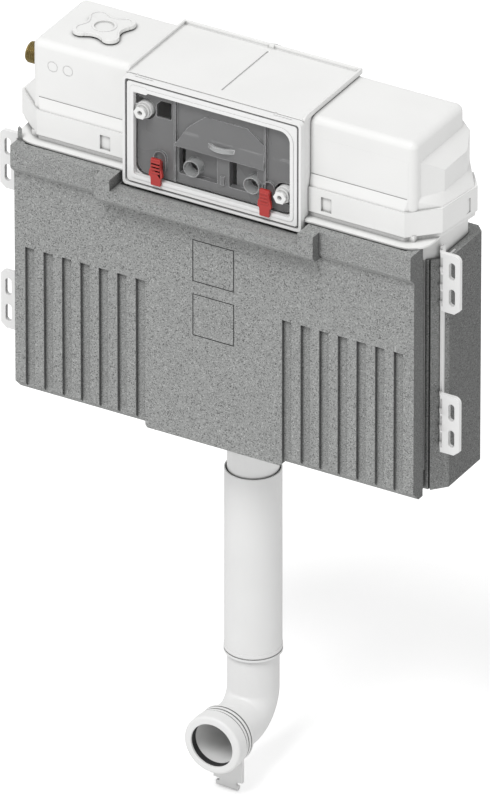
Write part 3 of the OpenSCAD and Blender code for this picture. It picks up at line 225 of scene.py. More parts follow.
# Numbers of the shared groups. Scales are cells per metre; ranges are the values that become 0 and 1. Details
# are octaves of noise, and the roughness of a noise is the share that each octave keeps.
EDGE_TURN = (0.02, 0.25)
EDGE_BREAK_SCALE = 90.0
EDGE_BREAK_DETAIL = 3.0
EDGE_BREAK = (0.25, 0.6)
EDGE_SAMPLES = 4
SOFT_SAMPLES = 6
CONTACT_SAMPLES = 12
CONTACT_RANGE = (0.08, 0.75)
GRAIN_DETAIL = 4.0
DRIFT_SCALE = 14.0
DRIFT_DETAIL = 2.0
DRIFT_RANGE = (0.3, 0.7)
GRIT_DETAIL = 2.0
PIT_SCALE = 900.0
PIT_ROUGHNESS = 0.65
PIT_RANGE = (0.37, 0.44)
PIT_DEPTH = 0.6
SPECK_SCALE = 760.0
SPECK_ROUGHNESS = 0.6
SPECK_RANGE = (0.57, 0.65)
CLOUD_SCALE = 35.0
CLOUD_DETAIL = 3.0
BEAD_ROUND = (0.75, 0.1)
# Share of the contact shade that a finish takes
CONTACT_SHARE = 0.95


def object_point(tree: NodeTree) -> bpy.types.NodeSocket:
    """Gives the socket of object coordinates."""
    return tree.add("TexCoord").outputs["Object"]


def noise_at(tree: NodeTree, point: bpy.types.NodeSocket, scale: object, detail: float,
             **others: float) -> bpy.types.NodeSocket:
    """Adds a noise texture.

    Args:
        tree: Tree to build in.
        point: Socket of the coordinates.
        scale: Cells per metre, or a socket that gives them.
        detail: Octaves of noise.
        **others: Further inputs by name, with a leading "i_".

    Returns:
        The noise's socket.
    """
    return tree.add("TexNoise", i_Vector=point, i_Scale=scale, i_Detail=detail, **others).outputs[0]


def build_edges(tree: NodeTree, given: bpy.types.Node, out: bpy.types.Node) -> None:
    """Edge mask: one minus the dot product of the rounded normal and the true normal, broken up by noise."""
    rounded = tree.add("Bevel", samples=EDGE_SAMPLES, i_Radius=given.outputs["Width"]).outputs[0]
    true = tree.add("NewGeometry").outputs["Normal"]
    dot = tree.add("VectorMath", operation="DOT_PRODUCT")
    tree.put(rounded, dot.inputs[0])
    tree.put(true, dot.inputs[1])
    away = tree.math("SUBTRACT", 1.0, dot.outputs["Value"])
    noise = noise_at(tree, object_point(tree), EDGE_BREAK_SCALE, EDGE_BREAK_DETAIL)
    mask = tree.math("MULTIPLY", tree.ramp(away, *EDGE_TURN), tree.ramp(noise, *EDGE_BREAK))
    tree.put(tree.math("MULTIPLY", mask, given.outputs["Strength"], clamp=True), out.inputs["Mask"])


def build_soft(tree: NodeTree, given: bpy.types.Node, out: bpy.types.Node) -> None:
    """Soft edges: the normal that the surface would have if its edges were rounded by the radius."""
    rounded = tree.add("Bevel", samples=SOFT_SAMPLES, i_Radius=given.outputs["Radius"])
    tree.put(rounded.outputs[0], out.inputs["Normal"])


def build_contact(tree: NodeTree, given: bpy.types.Node, out: bpy.types.Node) -> None:
    """Contact shade: dark where close surfaces hide the sky, as in gaps, grooves and inner corners."""
    sky = tree.add("AmbientOcclusion", samples=CONTACT_SAMPLES, i_Distance=given.outputs["Reach"])
    hidden = tree.ramp(tree.math("SUBTRACT", 1.0, sky.outputs["AO"]), *CONTACT_RANGE)
    tree.put(tree.math("MULTIPLY", hidden, given.outputs["Strength"], clamp=True), out.inputs["Mask"])


def build_grain(tree: NodeTree, given: bpy.types.Node, out: bpy.types.Node) -> None:
    """Mould grain: fine noise for the height, broad noise for a slow drift of shade and of gloss."""
    point = object_point(tree)
    fine = noise_at(tree, point, given.outputs["Scale"], GRAIN_DETAIL)
    broad = noise_at(tree, point, DRIFT_SCALE, DRIFT_DETAIL)
    tree.put(fine, out.inputs["Height"])
    tree.put(tree.ramp(broad, *DRIFT_RANGE), out.inputs["Drift"])


def build_beads(tree: NodeTree, given: bpy.types.Node, out: bpy.types.Node) -> None:
    """Bead foam: cells about one bead across with their own shade, dark pits between them and pale specks."""
    point = object_point(tree)
    cells = tree.add("TexVoronoi", i_Vector=point, i_Scale=given.outputs["Scale"])
    shade = tree.add("SeparateColor", i_Color=cells.outputs["Color"]).outputs[0]
    grit = noise_at(tree, point, PIT_SCALE, GRIT_DETAIL, i_Roughness=PIT_ROUGHNESS)
    other = noise_at(tree, point, SPECK_SCALE, GRIT_DETAIL, i_Roughness=SPECK_ROUGHNESS)
    pits = tree.math("SUBTRACT", 1.0, tree.ramp(grit, *PIT_RANGE))
    specks = tree.ramp(other, *SPECK_RANGE)
    cloud = noise_at(tree, point, CLOUD_SCALE, CLOUD_DETAIL)
    tree.put(shade, out.inputs["Shade"])
    tree.put(pits, out.inputs["Pits"])
    tree.put(specks, out.inputs["Specks"])
    tree.put(cloud, out.inputs["Cloud"])
    round_top = tree.ramp(cells.outputs["Distance"], *BEAD_ROUND)
    tree.put(tree.math("SUBTRACT", round_top, tree.math("MULTIPLY", pits, PIT_DEPTH)), out.inputs["Height"])


GROUPS: dict[str, bpy.types.NodeTree] = {}


def make_groups() -> None:
    """Builds the shared shader groups."""
    mask = {"Mask": "Float"}
    beads = dict.fromkeys(("Shade", "Pits", "Specks", "Cloud", "Height"), "Float")
    for key, name, inputs, outputs, build in (
            # The edge mask makes edges paler on every finish: rubbed on the foam, a painted highlight on the
            # clear plastics
            ("edges", "worn_and_highlit_edges", {"Width": 0.001, "Strength": 1.0}, mask, build_edges),
            ("soft", "soft_edges", {"Radius": 0.002}, {"Normal": "Vector"}, build_soft),
            ("contact", "contact_shade", {"Reach": 0.004, "Strength": 1.0}, mask, build_contact),
            ("grain", "mould_grain", {"Scale": 900.0}, {"Height": "Float", "Drift": "Float"}, build_grain),
            ("beads", "bead_foam", {"Scale": 420.0}, beads, build_beads)):
        GROUPS[key] = new_group(name, inputs, outputs, build)


def place_group(tree: NodeTree, name: str, **values: float) -> bpy.types.Node:
    """Puts a shared group into a material.

    Args:
        tree: Material's tree.
        name: Key of the group.
        **values: Its inputs.

    Returns:
        The group node.
    """
    node = tree.add("Group", node_tree=GROUPS[name])
    for label, value in values.items():
        tree.put(value, node.inputs[label])
    return node


Colour = tuple[float, float, float]


def rgba(colour: Colour, tone: float = 1.0) -> tuple[float, float, float, float]:
    """Gives a colour times a tone, at most 1, with full alpha."""
    return (*(min(1.0, c * tone) for c in colour), 1.0)


def new_material(name: str) -> tuple[bpy.types.Material, NodeTree, bpy.types.Node]:
    """Makes an empty material.

    Args:
        name: Name of the material.

    Returns:
        The material, its tree helper and its shader node.
    """
    material = bpy.data.materials.new(name)
    material.use_nodes = True
    tree = NodeTree(material.node_tree)
    shader = next(n for n in material.node_tree.nodes if n.type == "BSDF_PRINCIPLED")
    return material, tree, shader


@dataclass(frozen=True)
class Moulded:
    """Moulded plastic: slight mould grain, slow shade drift, paler edges and painted contact shade in gaps and
    corners.
    """

    name: str
    base: Colour
    edge: Colour
    roughness: float = 0.4
    grain: float = 900.0
    bump: float = 0.05
    bump_depth: float = 0.0004
    edge_width: float = 0.0009
    edge_share: float = 0.6
    drift: float = 0.03
    gloss_drift: float = 0.08
    soft: float = 0.0008
    reach: float = 0.004
    # Share of the base colour that is left where the painted contact shade is full
    painted_shade_tone: float = 0.22

    def make(self) -> bpy.types.Material:
        """Builds the material."""
        material, tree, shader = new_material(self.name)
        grain = place_group(tree, "grain", Scale=self.grain)
        edges = place_group(tree, "edges", Width=self.edge_width, Strength=self.edge_share)
        body = tree.mix(grain.outputs["Drift"], rgba(self.base), rgba(self.base, 1.0 - self.drift))
        body = tree.mix(edges.outputs["Mask"], body, rgba(self.edge))
        # Painted shade: where close surfaces hide the sky, the colour goes towards a darker copy of the base
        contact = place_group(tree, "contact", Reach=self.reach, Strength=CONTACT_SHARE)
        shaded = rgba(self.base, self.painted_shade_tone)
        tree.put(tree.mix(contact.outputs["Mask"], body, shaded), shader.inputs["Base Color"])
        least = self.roughness - self.gloss_drift / 2
        rough = tree.math("MULTIPLY_ADD", grain.outputs["Drift"], self.gloss_drift, least)
        tree.put(rough, shader.inputs["Roughness"])
        rounded = place_group(tree, "soft", Radius=self.soft).outputs["Normal"]
        bump = tree.add("Bump", i_Strength=self.bump, i_Distance=self.bump_depth,
                        i_Height=grain.outputs["Height"], i_Normal=rounded)
        tree.put(bump.outputs[0], shader.inputs["Normal"])
        return material


@dataclass(frozen=True)
class BeadFoam:
    """Grey bead foam: cells, pits and pale specks, rubbed edges, painted contact shade in inner corners and
    painted shade on the end faces.
    """

    name: str
    base: Colour
    edge: Colour
    scale: float = 700.0
    low: float = 0.9
    high: float = 1.1
    pale: float = 1.75
    dark: float = 0.25
    speck_share: float = 0.7
    pit_share: float = 0.85
    cloud_share: float = 0.06
    cloud_range: tuple[float, float] = (0.35, 0.65)
    edge_width: float = 0.0012
    edge_share: float = 0.5
    reach: float = 0.006
    painted_shade_tone: float = 0.12
    # Painted shade on the end faces: the share of the base colour they keep, over this range of the normal's X
    painted_end_shade: float = 0.55
    painted_end_range: tuple[float, float] = (0.5, 0.95)
    roughness: float = 0.92
    specular: float = 0.25
    bump: float = 0.5
    bump_depth: float = 0.0005

    def make(self) -> bpy.types.Material:
        """Builds the material."""
        material, tree, shader = new_material(self.name)
        beads = place_group(tree, "beads", Scale=self.scale)
        edges = place_group(tree, "edges", Width=self.edge_width, Strength=self.edge_share)
        high = rgba(self.base, self.high)
        body = tree.mix(beads.outputs["Shade"], rgba(self.base, self.low), high)
        specks = tree.math("MULTIPLY", beads.outputs["Specks"], self.speck_share)
        body = tree.mix(specks, body, rgba(self.base, self.pale))
        pits = tree.math("MULTIPLY", beads.outputs["Pits"], self.pit_share)
        body = tree.mix(pits, body, rgba(self.base, self.dark))
        cloud = tree.math("MULTIPLY", tree.ramp(beads.outputs["Cloud"], *self.cloud_range), self.cloud_share)
        body = tree.mix(cloud, body, high)
        body = tree.mix(edges.outputs["Mask"], body, rgba(self.edge))
        # Painted shade in gaps and inner corners
        contact = place_group(tree, "contact", Reach=self.reach, Strength=CONTACT_SHARE)
        body = tree.mix(contact.outputs["Mask"], body, rgba(self.base, self.painted_shade_tone))
        # Painted shade: faces turned along X, the jacket's end faces, go towards black, standing in for weaker
        # light on them
        across = tree.add("SeparateXYZ", i_0=tree.add("NewGeometry").outputs["Normal"]).outputs[0]
        ends = tree.ramp(tree.math("ABSOLUTE", across), *self.painted_end_range)
        ends = tree.math("MULTIPLY", ends, 1.0 - self.painted_end_shade)
        tree.put(tree.mix(ends, body, rgba(self.base, 0.0)), shader.inputs["Base Color"])
        shader.inputs["Roughness"].default_value = self.roughness
        shader.inputs["Specular IOR Level"].default_value = self.specular
        bump = tree.add("Bump", i_Strength=self.bump, i_Distance=self.bump_depth,
                        i_Height=beads.outputs["Height"])
        tree.put(bump.outputs[0], shader.inputs["Normal"])
        return material


@dataclass(frozen=True)
class Metal:
    """Turned metal with fine rings across X and brighter edges."""

    name: str
    base: Colour
    edge: Colour
    roughness: float
    stretch: tuple[float, float, float] = (60.0, 1.0, 1.0)
    grain: float = 700.0
    ring_scale: float = 60.0
    ring_detail: float = 3.0
    ring_range: tuple[float, float] = (0.3, 0.7)
    dark: float = 0.8
    gloss_drift: float = 0.15
    edge_width: float = 0.0006
    edge_share: float = 0.8
    bump: float = 0.12
    bump_depth: float = 0.0002

    def make(self) -> bpy.types.Material:
        """Builds the material."""
        material, tree, shader = new_material(self.name)
        grain = place_group(tree, "grain", Scale=self.grain)
        edges = place_group(tree, "edges", Width=self.edge_width, Strength=self.edge_share)
        mapped = tree.add("Mapping", i_Vector=object_point(tree))
        mapped.inputs["Scale"].default_value = self.stretch
        rings = noise_at(tree, mapped.outputs[0], self.ring_scale, self.ring_detail)
        body = tree.mix(tree.ramp(rings, *self.ring_range), rgba(self.base), rgba(self.base, self.dark))
        tree.put(tree.mix(edges.outputs["Mask"], body, rgba(self.edge)), shader.inputs["Base Color"])
        shader.inputs["Metallic"].default_value = 1.0
        rough = tree.math("MULTIPLY_ADD", grain.outputs["Drift"], self.gloss_drift, self.roughness)
        tree.put(rough, shader.inputs["Roughness"])
        bump = tree.add("Bump", i_Strength=self.bump, i_Distance=self.bump_depth, i_Height=rings)
        tree.put(bump.outputs[0], shader.inputs["Normal"])
        return material


@dataclass(frozen=True)
class Translucent:
    """Smoked or cloudy clear plastic: see-through by alpha, with a faint mould texture and a painted highlight
    along its edges, which also turn less see-through.
    """

    name: str
    base: Colour
    alpha: float
    roughness: float = 0.22
    # Colour of the painted highlight along the edges
    rim: Colour = (0.72, 0.72, 0.73)
    grain: float = 650.0
    dark: float = 0.9
    gloss_drift: float = 0.08
    edge_width: float = 0.0008
    edge_alpha: float = 0.5
    bump: float = 0.04
    bump_depth: float = 0.0004

    def make(self) -> bpy.types.Material:
        """Builds the material."""
        material, tree, shader = new_material(self.name)
        grain = place_group(tree, "grain", Scale=self.grain)
        edges = place_group(tree, "edges", Width=self.edge_width, Strength=1.0)
        body = tree.mix(grain.outputs["Drift"], rgba(self.base), rgba(self.base, self.dark))
        # Painted highlight: along the edges the colour goes towards the pale rim colour and the plastic turns
        # less see-through
        tree.put(tree.mix(edges.outputs["Mask"], body, rgba(self.rim)), shader.inputs["Base Color"])
        rough = tree.math("MULTIPLY_ADD", grain.outputs["Drift"], self.gloss_drift, self.roughness)
        tree.put(rough, shader.inputs["Roughness"])
        opaque = tree.math("MULTIPLY_ADD", edges.outputs["Mask"], self.edge_alpha, self.alpha, clamp=True)
        tree.put(opaque, shader.inputs["Alpha"])
        bump = tree.add("Bump", i_Strength=self.bump, i_Distance=self.bump_depth,
                        i_Height=grain.outputs["Height"])
        tree.put(bump.outputs[0], shader.inputs["Normal"])
        return material


@dataclass(frozen=True)
class Braid:
    """Braided hose cover, woven along the hose's own UV map."""

    name: str
    base: Colour
    strand: Colour
    slope: float = 0.8
    scale: float = 9.0
    roughness: float = 0.45
    bump: float = 0.6
    bump_depth: float = 0.0004

    def make(self) -> bpy.types.Material:
        """Builds the material: the greater of two crossing wave fields gives the strands."""
        material, tree, shader = new_material(self.name)
        uv = tree.add("UVMap", uv_map="UVMap").outputs[0]
        waves = []
        for side in (1.0, -1.0):
            mapped = tree.add("Mapping", i_Vector=uv)
            mapped.inputs["Rotation"].default_value = (0.0, 0.0, side * self.slope)
            waves.append(tree.add("TexWave", i_Vector=mapped.outputs[0], i_Scale=self.scale).outputs[1])
        weave = tree.math("MAXIMUM", waves[0], waves[1])
        tree.put(tree.mix(weave, rgba(self.base), rgba(self.strand)), shader.inputs["Base Color"])
        shader.inputs["Roughness"].default_value = self.roughness
        bump = tree.add("Bump", i_Strength=self.bump, i_Distance=self.bump_depth, i_Height=weave)
        tree.put(bump.outputs[0], shader.inputs["Normal"])
        return material


WHITE_EDGE = (0.93, 0.93, 0.93)


class Finish(Enum):
    """Finishes of this cistern."""

    TANK = Moulded("tank_plastic", (0.885, 0.885, 0.875), (0.93, 0.93, 0.92), 0.42, 700.0, 0.06, soft=0.0012,
                   reach=0.007)
    FOAM = BeadFoam("foam", (0.33, 0.335, 0.33), (0.42, 0.42, 0.42))
    WHITE = Moulded("white_plastic", (0.885, 0.885, 0.875), WHITE_EDGE, 0.36, 900.0, 0.04)
    # Both clear plastics carry a painted highlight along their edges in their rim colour
    SMOKED = Translucent("smoke_plastic", (0.212, 0.213, 0.215), 0.8)
    CLEAR = Translucent("clear_plastic", (0.62, 0.63, 0.63), 0.4, 0.16, (0.95, 0.95, 0.95))
    # Red latch plastic with a short, light painted contact shade, so the slots between the ribs are not
    # painted black
    RED = Moulded("red_plastic", (0.46, 0.035, 0.03), (0.62, 0.12, 0.10), 0.34, 900.0, 0.05, reach=0.002,
                  painted_shade_tone=0.5)
    GREY = Moulded("grey_plastic", (0.50, 0.505, 0.51), (0.62, 0.62, 0.62), 0.45, 900.0, 0.05)
    BRASS = Metal("brass_metal", (0.30, 0.235, 0.10), (0.55, 0.45, 0.24), 0.34)
    RUBBER = Moulded("seal_rubber", (0.022, 0.022, 0.023), (0.06, 0.06, 0.06), 0.62, 1200.0, 0.15)
    HOSE = Braid("hose_cover", (0.16, 0.165, 0.17), (0.52, 0.53, 0.54))
    STEEL = Metal("steel", (0.60, 0.60, 0.60), (0.80, 0.80, 0.80), 0.3)
    # White plastic of the shaft rim and guard frame, with a lighter painted contact shade, so the gaps round
    # the frame are painted less dark
    RIM = Moulded("rim_plastic", (0.885, 0.885, 0.88), WHITE_EDGE, 0.42, 900.0, 0.05, painted_shade_tone=0.5)
    # White plastic with a slightly darker base and a wider reach of painted contact shade, so the recessed
    # spine and tab roots are painted darker
    BRACKET = Moulded("bracket_plastic", (0.87, 0.87, 0.865), (0.92, 0.92, 0.92), 0.42, 900.0, 0.05,
                      reach=0.012)
    # Painted light: the flush pipe in the jacket's shadow gets a paler copy of the pipe plastic with a short
    # contact-shade reach, so it shows lighter
    PAINTED_LIGHT_PIPE = Moulded("pipe_painted_lighter", (0.93, 0.93, 0.925), (0.95, 0.95, 0.95), 0.42, 800.0, 0.05,
                         reach=0.003)
    PIPE = Moulded("pipe_plastic", (0.815, 0.815, 0.81), (0.90, 0.90, 0.90), 0.45, 800.0, 0.05,
                   soft=0.0004)


MATERIALS: dict[str, bpy.types.Material] = {}


def material_of(finish: Finish) -> bpy.types.Material:
    """Gives a finish's material, built once."""
    if finish.name not in MATERIALS:
        MATERIALS[finish.name] = finish.value.make()
    return MATERIALS[finish.name]


def dress(obj: bpy.types.Object, finish: Finish) -> bpy.types.Object:
    """Puts a finish on a new piece.

    Args:
        obj: Piece to dress.
        finish: Finish to use.

    Returns:
        The same object.
    """
    obj.data.materials.clear()
    obj.data.materials.append(material_of(finish))
    return obj


# Mesh helpers


def add_object(name: str, mesh: bpy.types.Mesh) -> bpy.types.Object:
    """Links a mesh into the scene as a new object."""
    obj = bpy.data.objects.new(name, mesh)
    bpy.context.scene.collection.objects.link(obj)
    return obj


def grid_mesh(name: str, points: np.ndarray, uv: np.ndarray | None = None, close_u: bool = False,
              close_v: bool = False) -> bpy.types.Mesh:
    """Makes a mesh from a grid of points, shape (rows, columns, 3).

    Each cell between neighbouring rows and columns becomes one quad. A closed direction joins its last line
    to its first.

    Args:
        name: Name of the mesh.
        points: Grid of points in metres.
        uv: Grid of texture coordinates, shape (rows + close_u, columns + close_v, 2).
        close_u: Whether the last row joins the first.
        close_v: Whether the last column joins the first.

    Returns:
        The mesh, smooth shaded.
    """
    rows, columns = points.shape[:2]
    index = np.arange(rows * columns).reshape(rows, columns)
    if close_u:
        index = np.vstack([index, index[:1]])
    if close_v:
        index = np.hstack([index, index[:, :1]])
    quads = np.stack([index[:-1, :-1], index[:-1, 1:], index[1:, 1:], index[1:, :-1]], axis=-1)
    mesh = bpy.data.meshes.new(name)
    mesh.from_pydata(points.reshape(-1, 3).tolist(), [], quads.reshape(-1, 4).tolist())
    if uv is not None:
        cells = np.stack([uv[:-1, :-1], uv[:-1, 1:], uv[1:, 1:], uv[1:, :-1]], axis=2).reshape(-1, 2)
        layer = mesh.uv_layers.new(name="UVMap")
        layer.data.foreach_set("uv", cells.astype(np.float32).ravel())
    mesh.polygons.foreach_set("use_smooth", np.ones(len(mesh.polygons), bool))
    mesh.update()
    return mesh


# How much more a large face's normal counts than a small one's, from 1 to 100
LARGE_FACE_WEIGHT = 100


@dataclass(frozen=True)
class Softening:
    """How a moulding is softened.

    Edges that turn by at least angle, in degrees, are rounded over width, in mm, with the given steps.
    Corners closer than merge, in metres, become one. Triangles that meet at less than level, in degrees,
    become one face.
    """

    width: float
    steps: int = 2
    angle: float = 28.0
    merge: float = 1e-6
    level: float = 0.6


def softened(node: str, soft: Softening, finish: Finish, flat: bool = True) -> bpy.types.Object:
    """Copies a CAD node, merges its triangles, rounds its edges and lets the copy stand for the node.

    Args:
        node: Name of the CAD node.
        soft: Size of the rounding.
        finish: Finish of the copy.
        flat: Whether triangles in one plane are joined to one face.

    Returns:
        The new piece.
    """
    source = frame["nodes"][node]
    mesh = source.data.copy()
    work = bmesh.new()
    work.from_mesh(mesh)
    bmesh.ops.remove_doubles(work, verts=work.verts, dist=soft.merge)
    if flat:
        level = math.radians(soft.level)
        bmesh.ops.dissolve_limit(work, angle_limit=level, verts=work.verts, edges=work.edges)
    work.to_mesh(mesh)
    work.free()
    obj = add_object(node + "_soft", mesh)
    mesh.polygons.foreach_set("use_smooth", np.ones(len(mesh.polygons), bool))
    mesh.set_sharp_from_angle(angle=math.radians(soft.angle))
    bevel = obj.modifiers.new("rounding", "BEVEL")
    bevel.width = soft.width * MM
    bevel.segments = soft.steps
    bevel.limit_method = "ANGLE"
    bevel.angle_limit = math.radians(soft.angle)
    bevel.use_clamp_overlap = True
    bevel.harden_normals = True
    bevel.miter_outer = "MITER_ARC"
    if not flat:
        even = obj.modifiers.new("even_normals", "WEIGHTED_NORMAL")
        even.keep_sharp = True
        even.weight = LARGE_FACE_WEIGHT
    dress(obj, finish)
    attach(obj, source["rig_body"])
    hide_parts(node)
    return obj


class Assembly:
    """One sub-assembly: builds its pieces and reports them."""

    label = "assembly"

    def build(self) -> list[bpy.types.Object]:
        """Builds the pieces and returns them."""
        raise NotImplementedError

    def report(self) -> None:
        """Builds the pieces and logs each of them."""
        for piece in self.build():
            LOG.info("%s: %s", self.label, piece.name)


@dataclass
class Mouldings(Assembly):
    """Pieces whose CAD form is right and whose edges only need rounding.

    A pierced node keeps its triangles, because joining those of a face with holes would spoil it.
    """

    label: str
    nodes: dict[str, tuple[float, Finish]] = field(default_factory=dict)
    pierced: tuple[str, ...] = ()

    def build(self) -> list[bpy.types.Object]:
        """Rounds every listed node."""
        return [softened(node, Softening(width), finish, node not in self.pierced)
                for node, (width, finish) in self.nodes.items()]


@dataclass
class Inlet(Assembly):
    """Threaded water inlet at the hood's left end wall. Lengths in mm, angles in degrees.

    The axis lies axis_d from the wall and axis_h above the jacket's lower front edge. The thread, with radius
    r at its crests, runs from out_x to neck_x, and a plain neck goes on to in_x. The lead-in takes up to
    lead_in off the radius over the first lead_l.
    """

    label: str = "inlet"
    axis_d: float = 70.0
    axis_h: float = 330.0
    out_x: float = -224.0
    neck_x: float = -213.0
    in_x: float = -188.0
    r: float = 10.48
    bore_r: float = 7.5
    neck_r: float = 9.98
    pitch: float = 1.81
    depth: float = 1.1
    lead_l: float = 1.6
    lead_in: float = 0.8
    rows: int = 260
    around: int = 48
    sharp: float = 40.0

    def build(self) -> list[bpy.types.Object]:
        """Sweeps thread and neck: the thread's radius falls and rises once per pitch, shifted by the angle."""
        u = np.linspace(0.0, 1.0, self.rows)[:, None]
        angle = np.linspace(0.0, TURN, self.around, endpoint=False)[None, :]
        along = self.out_x + u * (self.in_x - self.out_x)
        phase = (along - self.out_x) / self.pitch + angle / TURN
        tooth = np.abs((phase % 1.0) * 2.0 - 1.0)
        full = np.clip((along - self.out_x) / self.lead_l, 0.0, 1.0)
        radius = self.r - self.depth * tooth - self.lead_in * (1.0 - full) ** 2
        radius = np.where(along < self.neck_x, radius, self.neck_r)
        x = np.broadcast_to(along, radius.shape)
        outside = np.stack([x, radius * np.cos(angle), radius * np.sin(angle)], axis=-1)
        ends = []
        for at, rim in ((self.in_x, self.neck_r), (self.in_x, self.bore_r), (self.out_x, self.bore_r)):
            ring = [np.full(self.around, at), rim * np.cos(angle[0]), rim * np.sin(angle[0])]
            ends.append(np.stack(ring, axis=-1))
        grid = np.concatenate([outside, np.stack(ends)], axis=0)
        centre = np.array([0.0, -self.axis_d, self.axis_h - ORIGIN_H])
        mesh = grid_mesh("inlet_thread", (grid + centre) * MM, close_u=True, close_v=True)
        mesh.set_sharp_from_angle(angle=math.radians(self.sharp))
        obj = dress(add_object("inlet_thread", mesh), Finish.BRASS)
        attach(obj, Body.CASING.value)
        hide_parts("inlet_nipple")
        return [obj]


def frames_along(path: np.ndarray, up: np.ndarray) -> tuple[np.ndarray, np.ndarray]:
    """Gives two unit vectors across a path at each of its points.

    The first is the cross product of the path's direction and up, the second that of the first and the
    direction.

    Args:
        path: Points, shape (n, 3).
        up: Unit vector that the path's directions never follow.

    Returns:
        The two arrays of vectors.
    """
    ahead = np.gradient(path, axis=0)
    ahead /= np.linalg.norm(ahead, axis=1, keepdims=True)
    side = np.cross(ahead, up)
    side /= np.linalg.norm(side, axis=1, keepdims=True)
    return side, np.cross(side, ahead)


@dataclass
class SupplyHose(Assembly):
    """Braided hose inside the tank, from the stop valve to the fill valve. Lengths in mm.

    Start and end are an X and a distance from the wall, and top is their height above the jacket's lower
    front edge. The legs run straight down by drop. The texture repeats once per weave_l along the hose and
    weave_turns times around it.
    """

    label: str = "supply hose"
    start: tuple[float, float] = (-180.0, 70.0)
    end: tuple[float, float] = (-129.96, 23.96)
    top: float = 290.0
    drop: float = 30.0
    r: float = 4.5
    leg_rows: int = 8
    bend_rows: int = 40
    around: int = 24
    weave_l: float = 10.0
    weave_turns: float = 2.8

    def build(self) -> list[bpy.types.Object]:
        """Carries a circle down, round the half turn and up again."""
        a, b = np.array(self.start), np.array(self.end)
        span = np.linalg.norm(b - a)
        bend = span / 2
        low = self.top - self.drop
        t = np.linspace(0.0, np.pi, self.bend_rows)
        rows = self.leg_rows
        along = np.concatenate([np.zeros(rows), bend - bend * np.cos(t), np.full(rows, span)])
        height = np.concatenate([np.linspace(self.top, low, rows + 1)[:-1],
                                 low - bend * np.sin(t),
                                 np.linspace(low, self.top, rows + 1)[1:]])
        plan = a + np.outer(along, (b - a) / span)
        path = np.column_stack([plan[:, 0], -plan[:, 1], height - ORIGIN_H])
        level = np.append((b - a) / span, 0.0)
        normal = np.array([level[1], level[0], 0.0])
        side, across = frames_along(path, normal)
        angle = np.linspace(0.0, TURN, self.around, endpoint=False)[None, :, None]
        ring = self.r * (np.cos(angle) * side[:, None] + np.sin(angle) * across[:, None])
        length = np.concatenate([[0.0], np.cumsum(np.linalg.norm(np.diff(path, axis=0), axis=1))])
        turned = np.linspace(0.0, self.weave_turns, self.around + 1)
        uv = np.stack(np.meshgrid(length / self.weave_l, turned, indexing="ij"), axis=-1)
        mesh = grid_mesh("supply_hose_braid", (path[:, None] + ring) * MM, uv=uv, close_v=True)
        obj = dress(add_object("supply_hose_braid", mesh), Finish.HOSE)
        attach(obj, Body.CASING.value)
        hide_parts("supply_hose")
        return [obj]


